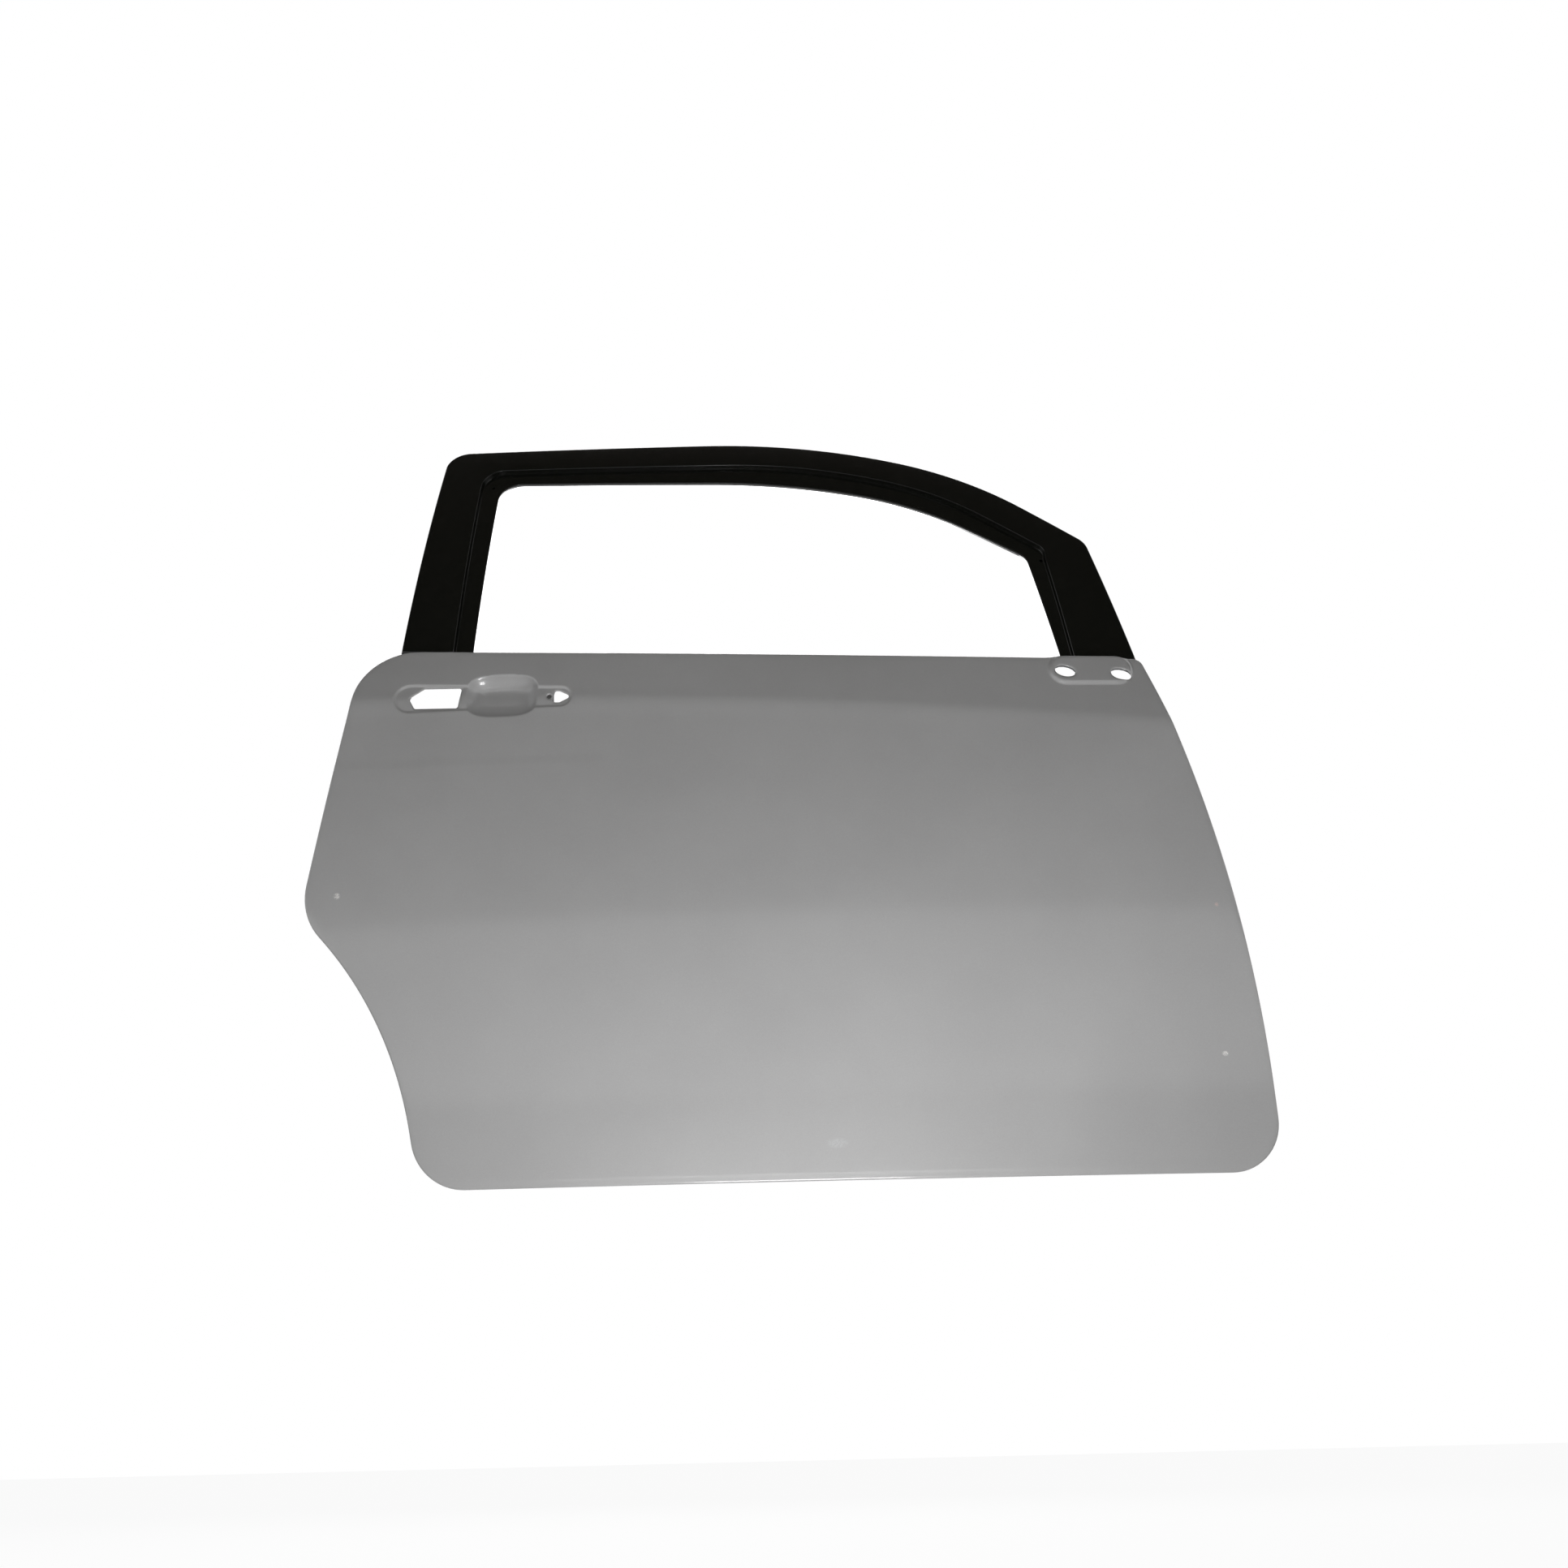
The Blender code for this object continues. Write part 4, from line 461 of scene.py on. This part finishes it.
def frameDepth(x, z):
    belt = beltHeight(x)
    rise = max(z - belt, 0.0)
    lean = windowFrame["lean"] * rise + rise * rise / (2 * windowFrame["glassRadius"])
    return float(plainDepth(np.array(x), np.array(belt))) + windowFrame["setback"] + lean


def framePath():
    rows = windowFrame["corners"]
    size = np.array((skin["length"], skin["fullHeight"]))
    facets = [row[4] for row in rows]
    runs = [row[5] for row in rows]
    sides = []
    for which in (1, 0):
        corners = [(np.array(row[which]) * size, row[2 + which]) for row in rows]
        sides.append(roundedPath(corners, False, facets, runs))
    middles = []
    start = 0
    for index, (arc, run) in enumerate(zip(facets, runs)):
        arc = 0 if index in (0, len(rows) - 1) else arc
        middles.append(start + arc / 2)
        start += arc + max(run, 1)
    steps = np.interp(range(len(sides[0])), middles, [row[6] for row in rows])
    return list(zip(sides[0], sides[1], steps))


def makeFrame():
    path = framePath()
    r = windowFrame["round"]
    profile = [("outer", 0.0, windowFrame["outerReturn"])]
    turn = [math.radians(a) for a in (0, 30, 60, 90)]
    profile += [("outer", -r * (1 - math.cos(a)), r * (1 - math.sin(a))) for a in turn]
    profile += [("step", r * (1 - math.sin(a)), r * (1 - math.cos(a))) for a in turn]
    deep = windowFrame["rebate"]
    profile += [("step", -r * 0.7, deep - r), ("step", -r, deep - r * 0.3), ("step", -r * 1.8, deep)]
    profile += [("opening", r * (1 - math.sin(a)), deep + r * (1 - math.cos(a))) for a in turn]
    profile.append(("opening", 0.0, windowFrame["lip"]))
    rails = []
    for line, offset, inboard in profile:
        rail = []
        for (opening, near), (outer, far), step in path:
            share = {"opening": 0.0, "step": step, "outer": 1.0}[line]
            place = opening + (outer - opening) * share + unit(near + (far - near) * share) * offset
            rail.append((place[0], frameDepth(place[0], place[1]) + inboard, place[1]))
        rails.append(rail)
    piece = newPiece("window_frame", [p for rail in rails for p in rail], bridge(rails, False), (0, -1, 0),
                     60)
    thicken(piece, windowFrame["sheet"])
    for index, (x, z) in enumerate(windowFrame["cornerHoles"]):
        place = np.array((skin["length"] * x, skin["fullHeight"] * z))
        deep = frameDepth(*place) + windowFrame["rebate"]
        bpy.ops.mesh.primitive_cylinder_add(vertices=24, radius=windowFrame["holeRadius"],
                                            depth=windowFrame["drillDepth"],
                                            location=Vector((place[0], deep, place[1])) - doorOrigin,
                                            rotation=(math.pi / 2, 0, 0))
        drill = bpy.context.object
        hole = piece.modifiers.new(f"hole {index}", "BOOLEAN")
        hole.operation, hole.object, hole.solver = "DIFFERENCE", drill, "EXACT"
        bpy.context.view_layer.objects.active = piece
        piece.select_set(True)
    for modifier in list(piece.modifiers):
        bpy.ops.object.modifier_apply(modifier=modifier.name)
    for drill in [o for o in bpy.data.objects if o.name.startswith("Cylinder")]:
        bpy.data.objects.remove(drill)
    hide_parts("frame_outer")
    return piece


outerFrame = makeFrame()
print("window frame folded:", len(outerFrame.data.polygons), "faces")


# finishes

class Wire:
    # a socket that sums, products and limits can be written with
    def __init__(self, finish, socket):
        self.finish = finish
        self.socket = socket

    def math(self, operation, *values):
        return self.finish.add("ShaderNodeMath", {"operation": operation}, values)

    def __add__(self, other):
        return self.math("ADD", self, other)

    def __radd__(self, other):
        return self.math("ADD", other, self)

    def __sub__(self, other):
        return self.math("SUBTRACT", self, other)

    def __rsub__(self, other):
        return self.math("SUBTRACT", other, self)

    def __mul__(self, other):
        return self.math("MULTIPLY", self, other)

    def __rmul__(self, other):
        return self.math("MULTIPLY", other, self)

    def __truediv__(self, other):
        return self.math("DIVIDE", self, other)

    def __rtruediv__(self, other):
        return self.math("DIVIDE", other, self)

    def __pow__(self, other):
        return self.math("POWER", self, other)

    def __rpow__(self, other):
        return self.math("POWER", other, self)

    def between(self, low, high):
        return self.finish.add("ShaderNodeMapRange", {"interpolation_type": "SMOOTHSTEP"},
                               {"Value": self, "From Min": low, "From Max": high})


class Nodes:
    def __init__(self, tree):
        self.tree = tree

    def add(self, kind, settings=None, inputs=(), output=0):
        node = self.tree.nodes.new(kind)
        for name, value in (settings or {}).items():
            setattr(node, name, value)
        pairs = inputs.items() if isinstance(inputs, dict) else enumerate(inputs)
        for key, value in pairs:
            socket = node.inputs[key]
            if isinstance(value, Wire):
                self.tree.links.new(value.socket, socket)
            else:
                socket.default_value = value
        return Wire(self, node.outputs[output])


class Finish(Nodes):
    def __init__(self, name, **constants):
        self.material = bpy.data.materials.new(name)
        self.material.use_nodes = True
        super().__init__(self.material.node_tree)
        self.shader = self.tree.nodes["Principled BSDF"]
        for socket, value in constants.items():
            self.shader.inputs[socket.replace("_", " ")].default_value = value

    def place(self):
        return self.add("ShaderNodeTexCoord", output="Object")

    def noise(self, scale, detail=4.0, roughness=0.55, stretch=None):
        where = self.place()
        if stretch:
            where = self.add("ShaderNodeMapping", {}, {"Vector": where, "Scale": stretch})
        return self.add("ShaderNodeTexNoise", {}, {"Vector": where, "Scale": scale, "Detail": detail,
                                                   "Roughness": roughness})

    def axes(self):
        split = self.add("ShaderNodeSeparateXYZ", inputs=(self.place(),))
        return [Wire(self, out) for out in split.socket.node.outputs]

    def spot(self, x, z, radius, stretch=1.0):
        # 1 in the middle of a spot on the door's side, 0 outside its radius
        across, _, up = self.axes()
        dx = (across - x) / stretch
        dz = up - z
        away = (dx * dx + dz * dz) ** 0.5
        return 1 - away.between(radius * 0.35, radius)

    def mix(self, share, first, second):
        return self.add("ShaderNodeMix", {"data_type": "RGBA"}, {0: share, 6: first, 7: second}, output=2)

    def use(self, socket, wire):
        self.tree.links.new(wire.socket, self.shader.inputs[socket])

    def bump(self, height, distance):
        self.use("Normal", self.add("ShaderNodeBump", {}, {"Distance": distance, "Height": height}))


def shade(linear, factor):
    return tuple(c * factor for c in linear[:3]) + (1.0,)


panelGrey = {
    "colour": (0.345, 0.344, 0.345, 1.0), "roughness": 0.36, "metallic": 0.05, "blotch": 0.13, "grain": 0.15,
    "lacquer": 0.9, "lacquerRoughness": 0.09,
    "marks": (  # x, z, radius, stretch, colour
        (0.0427, 0.336, 0.0048, 1.0, (0.75, 0.74, 0.72, 1)),
        (1.0557, 0.301, 0.0030, 1.0, (0.60, 0.45, 0.43, 1)),
        (1.0506, 0.130, 0.0035, 1.3, (0.78, 0.77, 0.75, 1)),
        # the last row is a lighter speckled patch at the bottom centre: a painted highlight, not a speck in
        # the paint
        (0.6123, 0.040, 0.0070, 2.2, (0.40, 0.40, 0.41, 1))),
}


def panelPaint(name, look, withSpecksAndSheen=False):
    finish = Finish(name, Metallic=look["metallic"], IOR=1.5, Coat_Weight=look["lacquer"],
                    Coat_Roughness=look["lacquerRoughness"])
    cloud = finish.noise(2.6, 3.0)
    patch = finish.noise(9.0, 4.0)
    grain = finish.noise(700.0, 2.0, 0.7)
    clouds = (cloud - 0.5) * (look["blotch"] * 1.4)
    tone = 1 + clouds + (patch - 0.5) * look["blotch"] + (grain - 0.5) * look["grain"]
    amount = (tone - 0.85) / 0.30
    colour = finish.mix(amount, shade(look["colour"], 0.85), shade(look["colour"], 1.15))
    if withSpecksAndSheen:
        # small paint specks, and one lighter patch at the bottom centre that is a painted highlight
        for x, z, radius, stretch, speckAndSheenColour in look["marks"]:
            spot = finish.spot(x - doorOrigin.x, z - doorOrigin.z, radius, stretch)
            speck = spot * finish.noise(900.0, 2.0).between(0.35, 0.6)
            colour = finish.mix(speck, colour, speckAndSheenColour)
    finish.use("Base Color", colour)
    finish.use("Roughness", look["roughness"] + (patch - 0.5) * 0.16 + (grain - 0.5) * 0.10)
    finish.bump(grain * 0.6 + finish.noise(55.0, 3.0) * 0.4, 0.00006)
    return finish.material


frameBlack = {"colour": (0.0045, 0.0050, 0.0040, 1.0), "roughness": 0.15}


def framePaint():
    finish = Finish("frameBlack", IOR=1.5)
    dust = finish.noise(60.0, 6.0, 0.65).between(0.50, 0.85)
    streak = finish.noise(14.0, 4.0, 0.6, (1.0, 1.0, 0.35))
    colour = finish.mix(dust * 0.35, frameBlack["colour"], (0.016, 0.015, 0.012, 1))
    finish.use("Base Color", colour)
    finish.use("Roughness", frameBlack["roughness"] + dust * 0.16 + (streak - 0.5) * 0.10)
    finish.bump(finish.noise(420.0, 2.0), 0.00004)
    return finish.material


def primerGrey():
    finish = Finish("primerGrey")
    cloud = finish.noise(18.0, 5.0)
    colour = finish.mix(cloud.between(0.3, 0.7), (0.16, 0.165, 0.17, 1), (0.24, 0.245, 0.25, 1))
    finish.use("Base Color", colour)
    finish.use("Roughness", 0.5 + (cloud - 0.5) * 0.3)
    finish.bump(finish.noise(600.0, 2.0), 0.00005)
    return finish.material


def zincSteel():
    finish = Finish("zincSteel", Metallic=0.9)
    spangle = finish.noise(160.0, 3.0)
    finish.use("Base Color", finish.mix(spangle, (0.42, 0.43, 0.44, 1), (0.62, 0.63, 0.64, 1)))
    finish.use("Roughness", 0.3 + spangle * 0.25)
    return finish.material


def mastic():
    finish = Finish("mastic")
    lumps = finish.noise(220.0, 4.0)
    finish.use("Base Color", finish.mix(lumps, (0.012, 0.012, 0.012, 1), (0.035, 0.034, 0.032, 1)))
    finish.use("Roughness", 0.75 + lumps * 0.2)
    finish.bump(lumps, 0.0004)
    return finish.material


insideGrey = dict(panelGrey, colour=(0.32, 0.315, 0.31, 1.0), roughness=0.46, metallic=0.08,
                  lacquer=0.3)
finishes = {
    "panel_paint": panelPaint("panelGrey", panelGrey, True),
    "inside_paint": panelPaint("insideGrey", insideGrey),
    "frame_paint": framePaint(),
    "primer": primerGrey(),
    "zinc": zincSteel(),
    "mastic": mastic(),
}
slotOf = {row["node"]: row["material_slot"] for row in frame["record"]["subparts"]}
for node, piece in frame["nodes"].items():
    piece.data.materials.clear()
    piece.data.materials.append(finishes[slotOf[node]])
outerSkin.data.materials.append(finishes["panel_paint"])
outerFrame.data.materials.append(finishes["frame_paint"])
print("finishes mixed:", len(finishes))


# floor, light and camera

studio = {
    "floorHeight": -0.95, "floorSize": 24.0, "floorGlow": 0.93, "skyFill": 0.16,
    "hood": ((-0.45, -1.6, 1.9), (7.0, 5.0), 0.07),   # a dark card overhead that the black frame mirrors
    # each lamp: place, target, width, height, power, lights matt surfaces, shows in gloss
    "lowLight": ((-0.42, -0.55, -0.90), (-0.42, -0.05, 0.30), 0.20, 0.12, 3.2, True, False),
    "glintLight": ((-0.44, -0.52, -0.92), (-0.44, -0.10, 0.10), 0.34, 0.40, 6.0, False, True),
    "frontLight": ((-0.45, -2.4, -0.72), (-0.45, 0.0, -0.1), 1.2, 0.4, 29.5, True, False),
    "backLight": ((-0.7, 2.6, 1.4), (-0.45, 0.1, -0.1), 2.4, 2.0, 60.0, True, True),
}


def floorMaterial():
    finish = Finish("paleFloor", Roughness=0.6)
    speck = finish.noise(90.0, 4.0)
    finish.use("Base Color", finish.mix(speck, (0.80, 0.80, 0.80, 1), (0.86, 0.86, 0.86, 1)))
    seen = finish.add("ShaderNodeLightPath", output="Is Camera Ray")
    glow = finish.add("ShaderNodeEmission", {}, {"Color": (1, 1, 1, 1), "Strength": 1.0})
    matt = Wire(finish, finish.shader.outputs[0])
    blend = finish.add("ShaderNodeMixShader", {}, (seen * studio["floorGlow"], matt, glow))
    finish.tree.links.new(blend.socket, finish.tree.nodes["Material Output"].inputs[0])
    return finish.material


def makeFloor():
    size = studio["floorSize"]
    bpy.ops.mesh.primitive_plane_add(size=size, location=(-0.45, 0.0, studio["floorHeight"]))
    floor = bpy.context.object
    floor.name = "floor"
    floor.data.materials.append(floorMaterial())


def makeHood():
    place, (width, depth), tone = studio["hood"]
    bpy.ops.mesh.primitive_plane_add(size=1, location=place, rotation=(math.radians(25), 0, 0))
    hood = bpy.context.object
    hood.name = "hood"
    hood.scale = (width, depth, 1)
    hood.visible_camera = hood.visible_shadow = False
    cloth = Finish("hoodCloth", Base_Color=(tone, tone * 0.9, tone * 0.75, 1), Roughness=0.9)
    hood.data.materials.append(cloth.material)


def makeLight(name, place, target, width, height, power, diffuse, glossy):
    lamp = bpy.data.lights.new(name, "AREA")
    lamp.shape, lamp.size, lamp.size_y, lamp.energy = "RECTANGLE", width, height, power
    light = bpy.data.objects.new(name, lamp)
    bpy.context.scene.collection.objects.link(light)
    light.location = place
    light.rotation_euler = (Vector(target) - Vector(place)).to_track_quat("-Z", "Y").to_euler()
    light.visible_camera = False
    light.visible_diffuse = diffuse
    light.visible_glossy = glossy


def makeWorld():
    world = bpy.data.worlds.new("studio")
    bpy.context.scene.world = world
    world.use_nodes = True
    nodes = Nodes(world.node_tree)
    kinds = ("Camera", "Glossy", "Transmission")
    rays = [nodes.add("ShaderNodeLightPath", output=f"Is {kind} Ray") for kind in kinds]
    seen = rays[0]
    for ray in rays[1:]:
        seen = seen.math("MAXIMUM", seen, ray)
    limits = {"To Min": studio["skyFill"], "To Max": 1.0}
    strength = nodes.add("ShaderNodeMapRange", {}, dict(limits, Value=seen))
    sky = nodes.tree.nodes["Background"]
    sky.inputs[0].default_value = (1, 1, 1, 1)
    nodes.tree.links.new(strength.socket, sky.inputs[1])


def makeCamera():
    lens = {"pitch": math.radians(19.0), "roll": math.radians(1.36), "focal": 2320.0 / 1932.0 * 36.0,
            "place": Vector((0.5623, -2.0801, -0.2612)) - doorOrigin}
    view = Vector((0.0, math.cos(lens["pitch"]), math.sin(lens["pitch"])))
    right = Vector((1.0, 0.0, 0.0))
    up = right.cross(view)
    turnedRight = right * math.cos(lens["roll"]) - up * math.sin(lens["roll"])
    turnedUp = up * math.cos(lens["roll"]) + right * math.sin(lens["roll"])
    camera = bpy.data.objects.new("camera", bpy.data.cameras.new("camera"))
    bpy.context.scene.collection.objects.link(camera)
    camera.data.sensor_width = 36.0
    camera.data.lens = lens["focal"]
    camera.matrix_world = Matrix((
        (turnedRight.x, turnedUp.x, -view.x, lens["place"].x),
        (turnedRight.y, turnedUp.y, -view.y, lens["place"].y),
        (turnedRight.z, turnedUp.z, -view.z, lens["place"].z),
        (0, 0, 0, 1)))
    bpy.context.scene.camera = camera


makeFloor()
makeHood()
for lightName in ("lowLight", "glintLight", "frontLight", "backLight"):
    makeLight(lightName, *studio[lightName])
makeWorld()
makeCamera()
bpy.context.scene.view_settings.view_transform = "Standard"
print("floor, lights and camera set")
